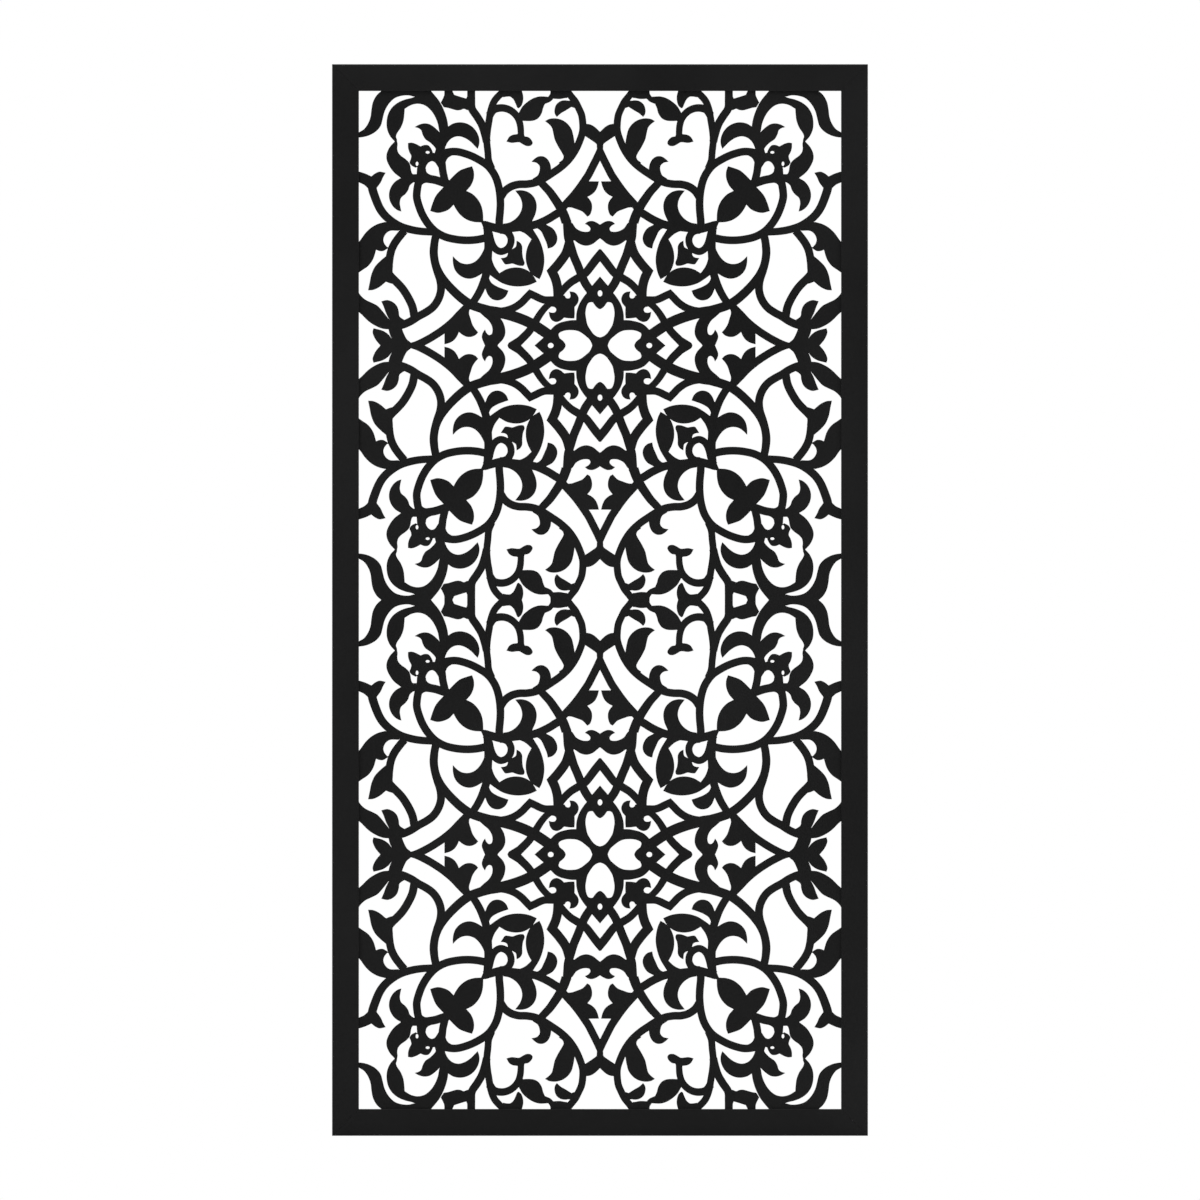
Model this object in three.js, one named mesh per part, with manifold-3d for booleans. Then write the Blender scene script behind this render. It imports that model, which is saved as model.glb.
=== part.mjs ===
// Laser cut metal screen: a tall black panel of arabesque scrolls in a mitred steel frame.
// Millimetres, +Z up, front face towards -Y, origin at the bottom centre of the panel.

import * as THREE from "three";
import { mergeVertices } from "three/addons/utils/BufferGeometryUtils.js";
import Module from "manifold-3d";

const wasm = await Module();
wasm.setup();

// Driving dimensions: the panel and its frame section
const panelWidth = 600;
const panelHeight = 1200;
const frameFace = 30; // width of the border as it shows from the front
const frameDepth = 25;
const tubeWidth = 18; // hollow part of the section, outboard of the rebate
const tubeWall = 2;
const lipThickness = 3; // front lip that the cut sheet lies behind
const mitreGap = 0.3;

// The cut sheet and what holds it in the rebate
const sheetThickness = 2;
const seatGap = 0.3; // paint and assembly clearance between neighbours
const edgeClearance = 0.5; // between the sheet's edge and the tube
const beadWidth = 8;
const beadDepth = 10;

// Corner keys inside the tubes
const keyArm = 60;
const keyClearance = 0.3;

// Bead screws
const screwShankRadius = 1.9;
const screwHeadRadius = 3.6;
const screwHeadHeight = 2;
const screwBeyondWall = 3; // length past the inside of the tube wall
const screwClearance = 0.3;
const screwSides = 8;
const screwTipShare = 0.6; // radius at the tip, as a share of the shank's
const screwCrownShare = 0.7; // radius of the head's flat top, as a share of the head's
const drillOvershoot = 1; // how far a drilled hole runs past the metal
const screwEndDistance = 70; // from the end of a bead to its first screw
const screwMaxSpacing = 520;

// The pattern repeats by mirroring one quarter, drawn from the centre of a medallion outwards
const drawnWidth = 270;
const drawnHeight = 285;
const medallionsHigh = 2;
const curveStep = 1.6; // length of the short straights that follow a curve
const cornerReach = 1.8; // stretch of curve over which a turn is felt
const cornerTurn = 0.9; // a turn of more than this, in radians, is a corner
const facetTolerance = 3.6; // how far the cut's flats may leave the drawn curve
const narrowShare = 0.6; // the same, as a share of the strip of metal or air beside it
const shiftShare = 0.2; // most that a point moves to keep a curve's area, as a share of that strip
const bendShare = 0.6; // stretch before and after a sharp bend that stays straight, in stem widths
const leastCutArea = 5; // slivers smaller than this are left as solid metal
const touching = 1e-3; // points closer than this are the same point

const corner = true; // marks a point where a drawn line turns sharply

const stems = [
  {
    name: "flower ring",
    width: [8.7, 8.7],
    path: [
      [113, 130], [112.8, 140], [111.7, 152], [111.6, 163], [113.3, 177], [117.3, 189.5], [125.5, 201],
      [138.5, 209.6], [150, 214.5], [161, 217.1], [171, 216.4], [182, 213],
    ],
  },
  {
    name: "flower bowl",
    width: [8.8, 8.8],
    path: [
      [201.5, 188], [203.7, 180.5], [205, 172.5], [205.2, 166], [203, 157], [198.6, 146], [192.3, 136],
      [184.3, 127.7], [174, 121.9], [162, 118.9], [150, 117.8], [138, 118.5], [126, 121],
    ],
  },
  {
    name: "flower stalk",
    width: [8.6, 8.6],
    path: [
      [179.5, 222], [178, 212], [177, 204], [176, 195], [173.5, 184],
    ],
  },
  {
    name: "eye ring",
    width: [9.6, 9.6],
    path: [
      [200.8, 184], [200.4, 194], [199.3, 202], [194.8, 208.6], [188.3, 211.2], [182, 208.8],
      [177, 202],
    ],
  },
  {
    name: "flower foot",
    width: [9.5, 9.2],
    path: [
      [168, 180], [176, 182.6], [184, 185.2], [192, 186.6], [202, 187.3], [214, 187.2],
    ],
  },
  {
    name: "long stem",
    width: [7.8, 8],
    path: [
      [121, 198], [124.6, 207], [125.6, 217], [126.8, 229], [126, 241], [124.2, 252], [122.3, 263],
      [118.9, 272.6], [115.5, 277.4], [111.8, 281.1], [104, 288.6],
    ],
  },
  {
    name: "bud stalk",
    width: [9.2, 7.2],
    path: [
      [124, 257.5], [119, 264], [111.5, 266], [104, 265], [97, 261], [91.8, 254.5], [89.2, 246],
      [88.5, 236],
    ],
  },
  {
    name: "head vine",
    width: [9.8, 9.8],
    path: [
      [199.4, 290], [192.4, 281.3], [183.9, 270.8], [178.6, 260.2], [175.4, 249], [174.8, 238],
      [177.2, 226], [180.5, 214],
    ],
  },
  {
    name: "branch up",
    width: [9, 9],
    path: [
      [126.8, 228], [128.4, 235], [132.2, 247], [137.7, 256.5], [143.5, 265.5], [144.2, 276],
      [144.2, 290],
    ],
  },
  {
    name: "big circle",
    width: [7.8, 9],
    path: [
      [41, 290], [36.5, 284.5], [32.3, 279], [27.5, 273], [23.9, 265.8], [20.7, 258.5], [19.3, 249],
      [19.4, 240], [22.4, 230], [28, 218], [35.5, 207.5], [44.8, 199], [54, 192.7], [63, 187],
      [72, 182.6], [82, 180.7], [91, 180.4], [99.5, 178], [106.5, 173], [111, 166.5],
    ],
  },
  {
    name: "left sweep",
    width: [8.4, 11.2],
    path: [
      [69, 186], [63, 179.3], [56.5, 172.4], [50.8, 164.4], [45.4, 156.2], [40.8, 147], [37.6, 138],
    ],
  },
  {
    name: "lower sweep",
    width: [9.6, 9.6],
    path: [
      [37, 140], [36.4, 130], [35.6, 121], [32.4, 110], [29.3, 100], [25, 90], [20.9, 79.5],
      [16.6, 70], [9.8, 60],
    ],
  },
  {
    name: "step down",
    width: [10.5, 10.5],
    path: [
      [34, 116], [38, 103.5], [45.7, 92.2], [53.7, 83, corner], [50.4, 76], [48, 67.5], [47.2, 60],
      [47, 53],
    ],
  },
  {
    name: "step across",
    width: [8.6, 8.6],
    path: [
      [46, 51.2], [54, 50.9], [62, 51], [67, 52.6], [72.5, 55.3], [78.2, 57.9, corner], [83, 53],
      [87.3, 48.5], [95, 43], [104, 39.5], [113, 38],
    ],
  },
  {
    name: "chevron up",
    width: [10, 8.2],
    path: [
      [-3, 105], [0, 101.5], [4.3, 96.5], [9.7, 89.4], [16.2, 81.3], [24.3, 75.9], [31.5, 71.6],
      [35.8, 68.1], [40.2, 63.6], [45.5, 57],
    ],
  },
  {
    name: "chevron across",
    width: [9.8, 7.2],
    path: [
      [97, -2], [88, 7], [81, 14], [76, 20.5], [71.5, 28], [66.2, 36.4], [60.3, 43.4], [52, 50],
    ],
  },
  {
    name: "right sweep",
    width: [8.8, 10.8],
    path: [
      [185.4, 114], [186, 103], [184.2, 91], [179.8, 80.5], [172.8, 70.5], [163.9, 60.9],
      [154.8, 52.7], [145.3, 46.2], [135, 42.3], [124, 39.2],
    ],
  },
  {
    name: "sweep end",
    width: [12, 12],
    path: [
      [126, 38.8], [113, 36.9], [104, 34.8], [95, 32.1], [84.6, 28.2], [75, 23.5], [65, 17.2], [52, 8],
    ],
  },
  {
    name: "cross arm up",
    width: [8.8, 8.8],
    path: [
      [44, 152], [36.5, 160.3], [29.5, 168], [22.5, 177], [17, 185], [13.1, 190.8], [8.5, 199.7],
      [3.7, 209.2], [-1.2, 219.7],
    ],
  },
  {
    name: "cross arm across",
    width: [8.8, 8.8],
    path: [
      [148.5, 43.5], [157, 35], [164.5, 27], [175, 18.2], [185, 11.4], [195, 5.6], [206, 0.4],
      [218, -3],
    ],
  },
  {
    name: "inner sweep up",
    width: [9.2, 9.2],
    path: [
      [44, 150], [50, 146.6], [56, 142.8], [63.3, 139], [71.5, 135.6], [82, 133.4], [93, 132.2],
      [104, 131], [112, 131],
    ],
  },
  {
    name: "ring top",
    width: [9.4, 9.4],
    path: [
      [100, 130], [110, 130], [120, 132.4], [130, 135.2],
    ],
  },
  {
    name: "inner sweep across",
    width: [8.4, 10],
    path: [
      [143, 47], [137.8, 55], [133.8, 62.5], [130, 72], [127.3, 80.5], [125.9, 92], [125.4, 104],
      [124.8, 112], [125.2, 122], [125.8, 134],
    ],
  },
  {
    name: "small ring",
    width: [8, 8],
    path: [
      [124, 126], [123, 121], [121.6, 116], [119.6, 111.3], [116.2, 107.3], [111, 105.2],
      [104.5, 107.6], [100.4, 113], [99.6, 119.5], [101, 123.5], [103.4, 126.6], [107.5, 128.6],
      [112, 129],
    ],
  },
  {
    name: "lower bowl",
    width: [9, 9],
    path: [
      [183, 126], [185.2, 116], [186.4, 105], [185.3, 95], [182.5, 84], [179.2, 74], [178, 66],
      [178.6, 59], [181.7, 50.5], [187.3, 42.8], [195, 37.2], [203, 32.9], [213, 26.6], [224, 22.5],
      [236, 22.5],
    ],
  },
  {
    name: "outer vine",
    width: [10, 8.2],
    path: [
      [256, 184], [255, 176], [252.6, 168], [246.8, 154], [241.3, 146.2], [233.2, 139.1],
      [223.4, 133.4], [211, 129.6], [200, 127.8], [186, 127],
    ],
  },
  {
    name: "lens stem",
    width: [9, 9],
    path: [
      [219, 128.5], [222.9, 124], [229.6, 115], [233.3, 107.5], [235.2, 100], [236, 94], [236.6, 88],
    ],
  },
  {
    name: "lower vine",
    width: [9.2, 9.2],
    path: [
      [240, 84], [232.5, 75.5], [225.4, 68.5], [220.6, 62.9], [214.2, 52.6], [210, 43.2], [208, 33],
      [207, 27],
    ],
  },
];

const leaves = [
  {
    name: "petal band",
    outline: [
      [55.8, 17.1, corner], [50, 22.8], [45, 25.5], [40, 27], [33, 28.3], [26.7, 28.5, corner],
      [26.4, 36], [23.5, 46], [18, 55], [14.8, 58.9, corner], [7, 48.2, corner], [10.3, 48.5],
      [13, 47.5], [15, 43.7], [16.2, 36], [15.3, 29], [14, 23.4], [10.8, 17.7], [7, 12.7], [3, 10],
      [0, 9.2], [-1, 9.2, corner], [-1, -1, corner], [8.5, -1, corner], [9, 1], [11.5, 6.3],
      [16, 10.5], [21, 14.3], [26, 16.5], [32, 17.2], [37.4, 17], [42.2, 15.8], [45.5, 14], [46.3, 12],
      [45, 8, corner],
    ],
  },
  {
    name: "axis web",
    outline: [
      [237, 19, corner], [235.6, 13], [233.3, 7.8, corner], [230, 2], [228, -2, corner],
      [206, -2, corner], [212.4, 3.8, corner], [216.2, 7], [218.3, 10.5], [220.3, 15],
      [221.5, 18.3, corner], [224, 24],
    ],
  },
  {
    name: "corner leaf",
    outline: [
      [238, 290], [245, 285], [250.3, 280], [254.3, 272.5], [256, 264], [257, 256], [259.8, 248.5],
      [264.3, 242.3], [272, 237], [272, 233, corner], [265, 233.5], [258, 235.5], [250.5, 240],
      [245.6, 246], [243.3, 254], [241, 262.5], [236.5, 270.5], [230, 276.8], [222.5, 279.5],
      [214, 280], [209, 278.8, corner], [201, 280], [198, 290],
    ],
  },
  {
    name: "head leaf",
    outline: [
      [200, 284], [209, 278], [218, 275.6], [226, 272.2], [232.7, 266.8], [237.2, 259.3], [239, 250],
      [238.2, 241.5], [234.8, 234], [230, 228.6, corner], [227.3, 229.5], [228.4, 234], [227, 238],
      [223, 244], [220, 252], [219, 260], [218.7, 265, corner], [211.5, 269.2], [204, 270.7],
      [196.5, 269], [189.7, 263.6], [184.7, 256.2], [181.5, 248], [180, 240], [178, 236, corner],
      [176, 255], [186, 278],
    ],
  },
  {
    name: "cheek leaf",
    outline: [
      [228.5, 232], [230, 228.3, corner], [235.3, 222.5], [238.8, 215], [239, 208.5], [236.5, 202],
      [231, 194], [223, 187.6, corner], [212, 184], [206, 190], [208.5, 191.2], [210.6, 193.2],
      [211.7, 197], [212.3, 201], [213.8, 204.8], [217.7, 208.8], [222.7, 212.4], [226, 216.3],
      [227, 221], [226.7, 226],
    ],
  },
  {
    name: "drop leaf",
    outline: [
      [223, 187.6, corner], [229.5, 183.5], [234.3, 177], [236.3, 169.5], [235.3, 162], [231.5, 155.3],
      [226.5, 151.3], [222.4, 150, corner], [223.4, 154.5], [224.1, 160], [222.7, 165.3], [218, 169.5],
      [214.8, 174], [213, 179], [209, 182.5], [204, 184, corner], [205, 188], [214, 191],
    ],
  },
  {
    name: "tulip bud",
    outline: [
      [187, 210], [187.4, 217, corner], [189.3, 221], [192.3, 224.2], [196.5, 224.6],
      [201, 223, corner], [206, 225.7], [211, 227.2], [215, 226.7, corner], [214.9, 221.5],
      [213.5, 216.5], [211.4, 212.3], [212, 208.5], [213.3, 205], [211, 201.5], [206.3, 199, corner],
      [200, 203],
    ],
  },
  {
    name: "hook at head",
    outline: [
      [177, 216], [182.8, 216.9, corner], [184.6, 221.3], [190, 227], [195.6, 231], [198.6, 236],
      [200.3, 241], [203, 243.2], [207.6, 244.6, corner], [203, 247.2], [197.5, 248.7], [191.5, 248.1],
      [186.2, 245], [181.5, 240.8], [177, 236, corner], [174, 230],
    ],
  },
  {
    name: "brow leaf",
    outline: [
      [177, 238], [170, 245.3, corner], [164.5, 248.6], [157, 250], [149.5, 248.7], [142.5, 244.6],
      [137.5, 238.2], [135.1, 231], [135.3, 225], [137, 220.2, corner], [140, 223.2], [145, 228.2],
      [152, 232.6], [159, 234.2], [165.5, 232.3], [170.3, 227.8], [174, 220.4, corner], [180, 224],
    ],
  },
  {
    name: "cross piece",
    outline: [
      [173.5, 290], [174.6, 280], [178.3, 272, corner], [175, 266.8, corner], [170, 266], [165, 264.5],
      [160, 263.3], [156, 263.7], [152.5, 265], [148, 263.5], [141, 266], [140.5, 276],
      [141, 290, corner], [145, 290, corner], [147.8, 281.5], [149.8, 276.6, corner], [156, 278.4],
      [163.3, 280.8, corner], [167.4, 290, corner],
    ],
  },
  {
    name: "top leaf",
    outline: [
      [101, 290, corner], [110, 281, corner], [108.6, 277.9, corner], [106, 278.4], [103.5, 278.7],
      [100.5, 278.5], [97, 275.6], [94.4, 270.5], [92.5, 266.2], [91, 265.6, corner], [88.1, 268.3],
      [86.2, 273.5], [86, 279.5], [89, 290, corner],
    ],
  },
  {
    name: "round leaf",
    outline: [
      [91, 260.5, corner], [86.8, 267.7], [81, 273.1], [75, 276.8], [68, 278.9], [58, 278.6, corner],
      [55.8, 282], [54.5, 290], [34, 290], [33, 280], [37.5, 277, corner], [38.5, 277.1], [45, 276],
      [52.3, 276.3, corner], [55.3, 273.3], [61.7, 270.4, corner], [63.6, 266], [65.3, 260],
      [69.3, 254.3], [74.5, 251.8], [81, 251.3], [88, 251.6, corner],
    ],
  },
  {
    name: "bulb leaf",
    outline: [
      [28, 274], [36, 274.2, corner], [38.5, 274.6], [44, 273.8], [49, 269.8], [51, 263.5],
      [50.4, 259], [48.3, 255.9, corner], [44, 259.8], [38.5, 263], [32, 267.1, corner], [28, 266],
      [25, 268],
    ],
  },
  {
    name: "tongue leaf",
    outline: [
      [26, 222], [28.4, 226.4, corner], [29.8, 235], [32, 242.5], [37, 249], [43, 252.8], [50, 254.4],
      [57, 253.7], [61.6, 251.2, corner], [57, 247.7], [54, 244], [52.6, 239], [50.8, 231], [47, 223],
      [42.5, 215.5], [40.8, 211.5], [42, 208], [46, 204.5], [38, 203], [30, 212],
    ],
  },
  {
    name: "lobe bud",
    outline: [
      [92.8, 236.7, corner], [98, 235.9], [101.8, 233.5], [104.8, 228.3, corner], [99, 226.9],
      [90.5, 227.5], [86.5, 225.3], [82, 223.3], [77.5, 223.8], [75.4, 226.6], [77, 230.5],
      [80.3, 233.4], [84.3, 234.2, corner], [86, 238], [91, 238],
    ],
  },
  {
    name: "hook at circle",
    outline: [
      [54.7, 197.8, corner], [55.6, 203], [58.7, 208.7], [63.5, 211.8], [69, 211.7], [73.5, 209],
      [76.8, 205.8, corner], [71, 204.4], [67.7, 200.8], [67.6, 196.5], [69.6, 190.8], [75.7, 185.8],
      [70, 181], [60, 186],
    ],
  },
  {
    name: "hook at ring",
    outline: [
      [109.5, 136.2, corner], [101, 138], [93.5, 143], [88.7, 150], [87.2, 157.5], [89.3, 165.5],
      [95, 173.4, corner], [88, 173.9], [80, 171.7], [73.7, 165.8], [71, 158], [71.8, 149],
      [76.3, 138.3, corner], [85, 132], [98, 131],
    ],
  },
  {
    name: "fin leaf",
    outline: [
      [78, 136], [75.5, 130.6, corner], [70.5, 131], [66.2, 128], [62.7, 121], [59.7, 114],
      [58.5, 108.5, corner], [53, 110.3], [49.2, 114.3], [47.7, 119.5], [49, 125.5], [53, 131.3],
      [59.7, 135.1, corner], [66, 139],
    ],
  },
  {
    name: "standing leaf",
    outline: [
      [90, 134], [98.3, 128.5, corner], [91, 128.2], [83.5, 125], [76.8, 119, corner], [80.5, 112],
      [82.8, 104], [83, 95], [81.2, 88], [77.7, 81.3], [73, 77.2], [67.8, 74.2, corner], [65, 80],
      [63, 88], [62.3, 97], [63.8, 107], [67.7, 118], [75.5, 130.9, corner], [80, 136],
    ],
  },
  {
    name: "lying leaf",
    outline: [
      [121.7, 104, corner], [121, 97], [118, 88.5], [112.7, 81, corner], [105, 85.4], [96, 87.4],
      [87, 86.6], [79.5, 83.1], [74.5, 78], [70.7, 71.3, corner], [79, 67.8], [89, 66.1], [99, 66.6],
      [109, 69.5], [117, 74.3], [124.3, 79.7, corner], [128, 86], [127, 100],
    ],
  },
  {
    name: "lower hook",
    outline: [
      [124.3, 79.7, corner], [124, 75], [121.5, 70.3], [115.5, 66.3], [108.5, 63.5],
      [102.5, 61.5, corner], [105, 55.7], [109.5, 51.8], [115, 50.4], [121, 52], [125.5, 56.7],
      [128.3, 63.2, corner], [132, 70], [129, 78],
    ],
  },
  {
    name: "inner bud",
    outline: [
      [103, 107], [97.5, 108.4, corner], [94.3, 110.7], [93.4, 117.5, corner], [89.5, 115.2],
      [87.2, 111.3], [87, 104.5], [86.2, 98], [84.4, 92.5], [85.5, 89.6], [89.5, 89.2], [94, 90.3],
      [98, 91.7], [102.5, 91], [106.3, 91], [108.7, 94], [111.2, 97.9, corner], [107, 98.4],
      [104.2, 100.1], [103.1, 103.1, corner], [106, 106],
    ],
  },
  {
    name: "hanging crescent",
    outline: [
      [128, 116], [129.4, 114], [129.4, 110], [131.3, 105], [135.5, 98.3], [141, 93.4], [148, 91.3],
      [155, 92.3], [160.5, 95.8], [164.8, 100.2, corner], [164.8, 93.5], [162.8, 85.3], [158.3, 79.4],
      [152, 75.7], [145, 74.8], [138.5, 76.7], [132.5, 80.2, corner], [126, 84],
    ],
  },
  {
    name: "flower",
    outline: [
      [172, 187], [168.6, 185.2, corner], [163, 191], [157, 196], [150, 198.8], [143.3, 200.8, corner],
      [141.3, 195], [141.3, 187.5], [144.3, 179.5], [149.6, 173.2, corner], [142.5, 169.5],
      [136.5, 163.3], [132.7, 156], [131, 148], [130.7, 139.8, corner], [124, 138], [128, 128],
      [133.2, 137.8, corner], [141, 138.3], [149, 140.8], [156.5, 146.3], [161.3, 152.6],
      [164, 157.6, corner], [169, 152.5], [175, 149.7], [182, 148.5], [190.2, 150.6, corner],
      [187.8, 158.5], [183.7, 167.9], [175.3, 177.4, corner], [172, 183],
    ],
  },
  {
    name: "left hook up",
    outline: [
      [38, 114], [28.8, 117.7, corner], [22, 113.2], [15, 111.7], [8.5, 113.5], [3, 117.7],
      [-2, 122.5], [-2, 133], [3, 137.3], [8.5, 139.5], [13.5, 138.8], [17, 136.2, corner],
      [13.2, 134.2], [10.8, 131], [11.8, 128.2], [15.5, 127.3], [21, 128.1], [26.8, 131.3],
      [31.5, 137.5], [38, 140],
    ],
  },
  {
    name: "left hook across",
    outline: [
      [118, 37], [111.3, 30.6, corner], [108, 25], [106.1, 18], [106.2, 12.5], [108.7, 6.8],
      [114.5, 0.3], [115, -2], [127, -2], [130.6, 4], [132.4, 9.5], [131.4, 14], [128.8, 18, corner],
      [127, 14], [124.3, 11.8], [121.6, 12.7], [120.4, 16.5], [121.2, 22], [124.8, 28], [130.5, 33],
      [135, 38],
    ],
  },
  {
    name: "trefoil up",
    outline: [
      [40, 157], [37.5, 154.6, corner], [32, 154.4], [25.5, 152.2], [19.5, 149.7],
      [14.3, 144.3, corner], [11.5, 146], [9.2, 151.5], [9, 158], [10.8, 162.5], [14, 166.5, corner],
      [9.3, 169], [5.3, 172.8], [2.7, 178], [1.2, 183.8, corner], [12.3, 183.9, corner], [17, 185],
      [22.5, 177], [29.5, 168], [36.5, 160.3],
    ],
  },
  {
    name: "trefoil across",
    outline: [
      [150.5, 42], [146, 40.4, corner], [146.6, 36], [144.9, 30], [142.8, 23.5], [140, 18.9],
      [136.4, 14.8, corner], [139.3, 11.7], [144, 9.7], [149.5, 9.8], [154, 11.9], [158, 15.1, corner],
      [159.7, 11], [163, 6.4], [168, 3.1], [174.2, 1.3, corner], [174.2, 13.3, corner], [174, 19],
      [164.5, 27], [157, 35],
    ],
  },
  {
    name: "fork",
    outline: [
      [22, 240], [15.2, 248.3, corner], [11, 247.6], [6.5, 245.3], [0, 239.3], [-3, 236], [-3, 214],
      [2, 214], [3.6, 222], [3.9, 225.3], [9, 229.4], [16.4, 234.3, corner],
    ],
  },
  {
    name: "diamond up",
    outline: [
      [-1, 40.7, corner], [1, 40.9], [4.3, 43.3], [8.3, 48.7], [14, 57], [9.2, 66.6, corner],
      [-1, 78.5, corner],
    ],
  },
  {
    name: "diamond across",
    outline: [
      [38.3, -1, corner], [38.6, 1], [40.5, 4.3], [45.8, 8.7], [54, 14], [62.8, 9.3, corner],
      [74.5, -1, corner],
    ],
  },
  {
    name: "trefoil centre",
    outline: [
      [50, 52], [39.9, 56], [38.3, 53.7], [36, 52.7], [33.8, 53.5], [33.1, 55.8], [34.2, 60.6, corner],
      [29, 59.8], [25.5, 57], [23.8, 52.3], [24.8, 47.7], [28.5, 43, corner], [28.3, 36],
      [28.7, 30.3, corner], [34, 30.4], [40.2, 31.2, corner], [44, 27.9], [48.5, 26.3], [53, 27.6],
      [56.1, 31.6], [57.4, 37.7, corner], [53.5, 36.7], [50.3, 37.4], [49, 40], [50, 42.3],
      [52.2, 43.3], [58, 44],
    ],
  },
  {
    name: "frame bud",
    outline: [
      [272, 194.4], [264, 193], [256, 189.4, corner], [252, 192.6], [247, 194.7], [240, 193.4, corner],
      [243, 188.3], [245.3, 183], [250.2, 176.2, corner], [255, 172], [259, 175.2, corner],
      [264, 179.8], [272, 184.5],
    ],
  },
  {
    name: "fan leaf",
    outline: [
      [222, 132], [240.6, 138.4, corner], [249, 136.1], [256.3, 132], [262.7, 126], [267.7, 119],
      [273, 111.5], [273, 81], [265.5, 84.8], [259, 89.6], [253.9, 97], [250.7, 107.2, corner],
      [247.5, 105.9], [243, 105.7], [238.1, 108.4, corner], [236, 110.5], [238.2, 110.1, corner],
      [241.5, 114.3], [242.5, 119], [240.3, 124.5], [235.5, 128.2], [225.6, 128.5, corner],
    ],
  },
  {
    name: "side leaf",
    outline: [
      [236, 102], [240.2, 99.7, corner], [246, 94.8], [252.3, 87.9], [256.1, 79.3], [257.9, 70.5],
      [259.7, 61.8, corner], [254, 62.2], [247, 65.4], [239.8, 71.3, corner], [232, 76],
      [232.2, 84, corner], [232, 92],
    ],
  },
  {
    name: "small thumb",
    outline: [
      [212, 24], [224.3, 32.5], [225.3, 38], [227.3, 44], [231.5, 48.4], [238, 50.9],
      [244.9, 49.5, corner], [242.1, 43], [239.8, 36.5], [236.2, 29.2, corner], [232, 22],
    ],
  },
  {
    name: "long frame leaf",
    outline: [
      [273, 66], [269, 57.4], [263, 51.6], [255, 47.7], [249, 44.4], [242.5, 37.3],
      [236.2, 29.2, corner], [228, 26], [224, 20], [236, 18, corner], [243.5, 18.8], [251, 21.8],
      [259, 26.9], [266, 33.8], [273, 41.5],
    ],
  },
  {
    name: "pointed leaf",
    outline: [
      [224, 8], [233.3, 7.8, corner], [236.8, 12.3], [243, 16.5], [253.6, 19.3, corner], [254.7, 15],
      [252.3, 8.2], [248.5, 2.9], [243, -2], [228, -2],
    ],
  },
  {
    name: "chevron tip",
    outline: [
      [103.7, -3, corner], [103.6, 0], [102.3, 2.9], [99.5, 4.8], [95.5, 7.2], [91, 10, corner],
      [92, 0, corner], [94, -3, corner],
    ],
  },
  {
    name: "eye corner",
    outline: [
      [203, 199, corner], [195.3, 198.5], [194.5, 195], [192.3, 192.5], [189, 191],
      [185, 189.5, corner], [203, 187, corner],
    ],
  },
  {
    name: "foot corner",
    outline: [
      [203, 175.5, corner], [200.8, 176.8], [199.9, 178.9], [198.3, 180.7], [196, 181.9], [192, 182.4],
      [189, 184, corner], [203, 186, corner],
    ],
  },
];
// Small round piercings: centre and the two radii
const piercings = [
  { name: "heart of the upper diamond", centre: [0, 58.4], radii: [2.6, 3.4] },
  { name: "heart of the side diamond", centre: [55.2, 0], radii: [3.2, 2.9] },
  { name: "upper eye of the tulip", centre: [193, 216.3], radii: [2.2, 1.5] },
  { name: "lower eye of the tulip", centre: [204.9, 203.5], radii: [1.5, 2.4] },
];
const piercingSides = 6;

// Materials
const coat = new THREE.MeshStandardMaterial({ color: 0x141416, roughness: 0.55, metalness: 0.35 });
const keyMetal = new THREE.MeshStandardMaterial({ color: 0x9a9da1, roughness: 0.45, metalness: 0.9 });
const screwMetal = new THREE.MeshStandardMaterial({ color: 0x2a2b2e, roughness: 0.4, metalness: 0.8 });

// Sizes that follow from the driving dimensions
const openingWidth = panelWidth - 2 * frameFace;
const openingHeight = panelHeight - 2 * frameFace;
const quarterWidth = openingWidth / 2;
const quarterHeight = openingHeight / (2 * medallionsHigh);
const frontY = -frameDepth / 2;
const sheetFrontY = frontY + lipThickness + seatGap;
const beadFrontY = sheetFrontY + sheetThickness + seatGap;

// Solids

function toSolid(geometry) {
  const bare = geometry.index ? geometry.toNonIndexed() : geometry.clone();
  bare.deleteAttribute("normal");
  bare.deleteAttribute("uv");
  const merged = mergeVertices(bare, 1e-4);
  const mesh = new wasm.Mesh({
    numProp: 3,
    vertProperties: new Float32Array(merged.attributes.position.array),
    triVerts: new Uint32Array(merged.index.array),
  });
  return new wasm.Manifold(mesh);
}

function toGeometry(solid) {
  const mesh = solid.getMesh();
  const geometry = new THREE.BufferGeometry();
  geometry.setAttribute("position", new THREE.BufferAttribute(mesh.vertProperties, 3));
  geometry.setIndex(new THREE.BufferAttribute(mesh.triVerts, 1));
  geometry.computeVertexNormals();
  return geometry;
}

function joinAll(solids) {
  let level = solids;
  while (level.length > 1) {
    const next = [];
    for (let i = 0; i < level.length; i += 2) {
      next.push(i + 1 < level.length ? level[i].add(level[i + 1]) : level[i]);
    }
    level = next;
  }
  return level[0];
}

function extrude(points, depth) {
  const shape = new THREE.Shape(points);
  return new THREE.ExtrudeGeometry(shape, { depth, bevelEnabled: false });
}

function box(x0, x1, y0, y1, z0, z1) {
  const geometry = new THREE.BoxGeometry(x1 - x0, y1 - y0, z1 - z0);
  geometry.translate((x0 + x1) / 2, (y0 + y1) / 2, (z0 + z1) / 2);
  return geometry;
}

// Drawn lines: smooth curves between corners

function smoothRun(points) {
  const spatial = points.map(([u, v]) => new THREE.Vector3(u, v, 0));
  const curve = new THREE.CatmullRomCurve3(spatial, false, "centripetal");
  const steps = Math.max(points.length - 1, Math.ceil(curve.getLength() / curveStep));
  return curve.getSpacedPoints(steps).map((p) => new THREE.Vector2(p.x, p.y));
}

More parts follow.
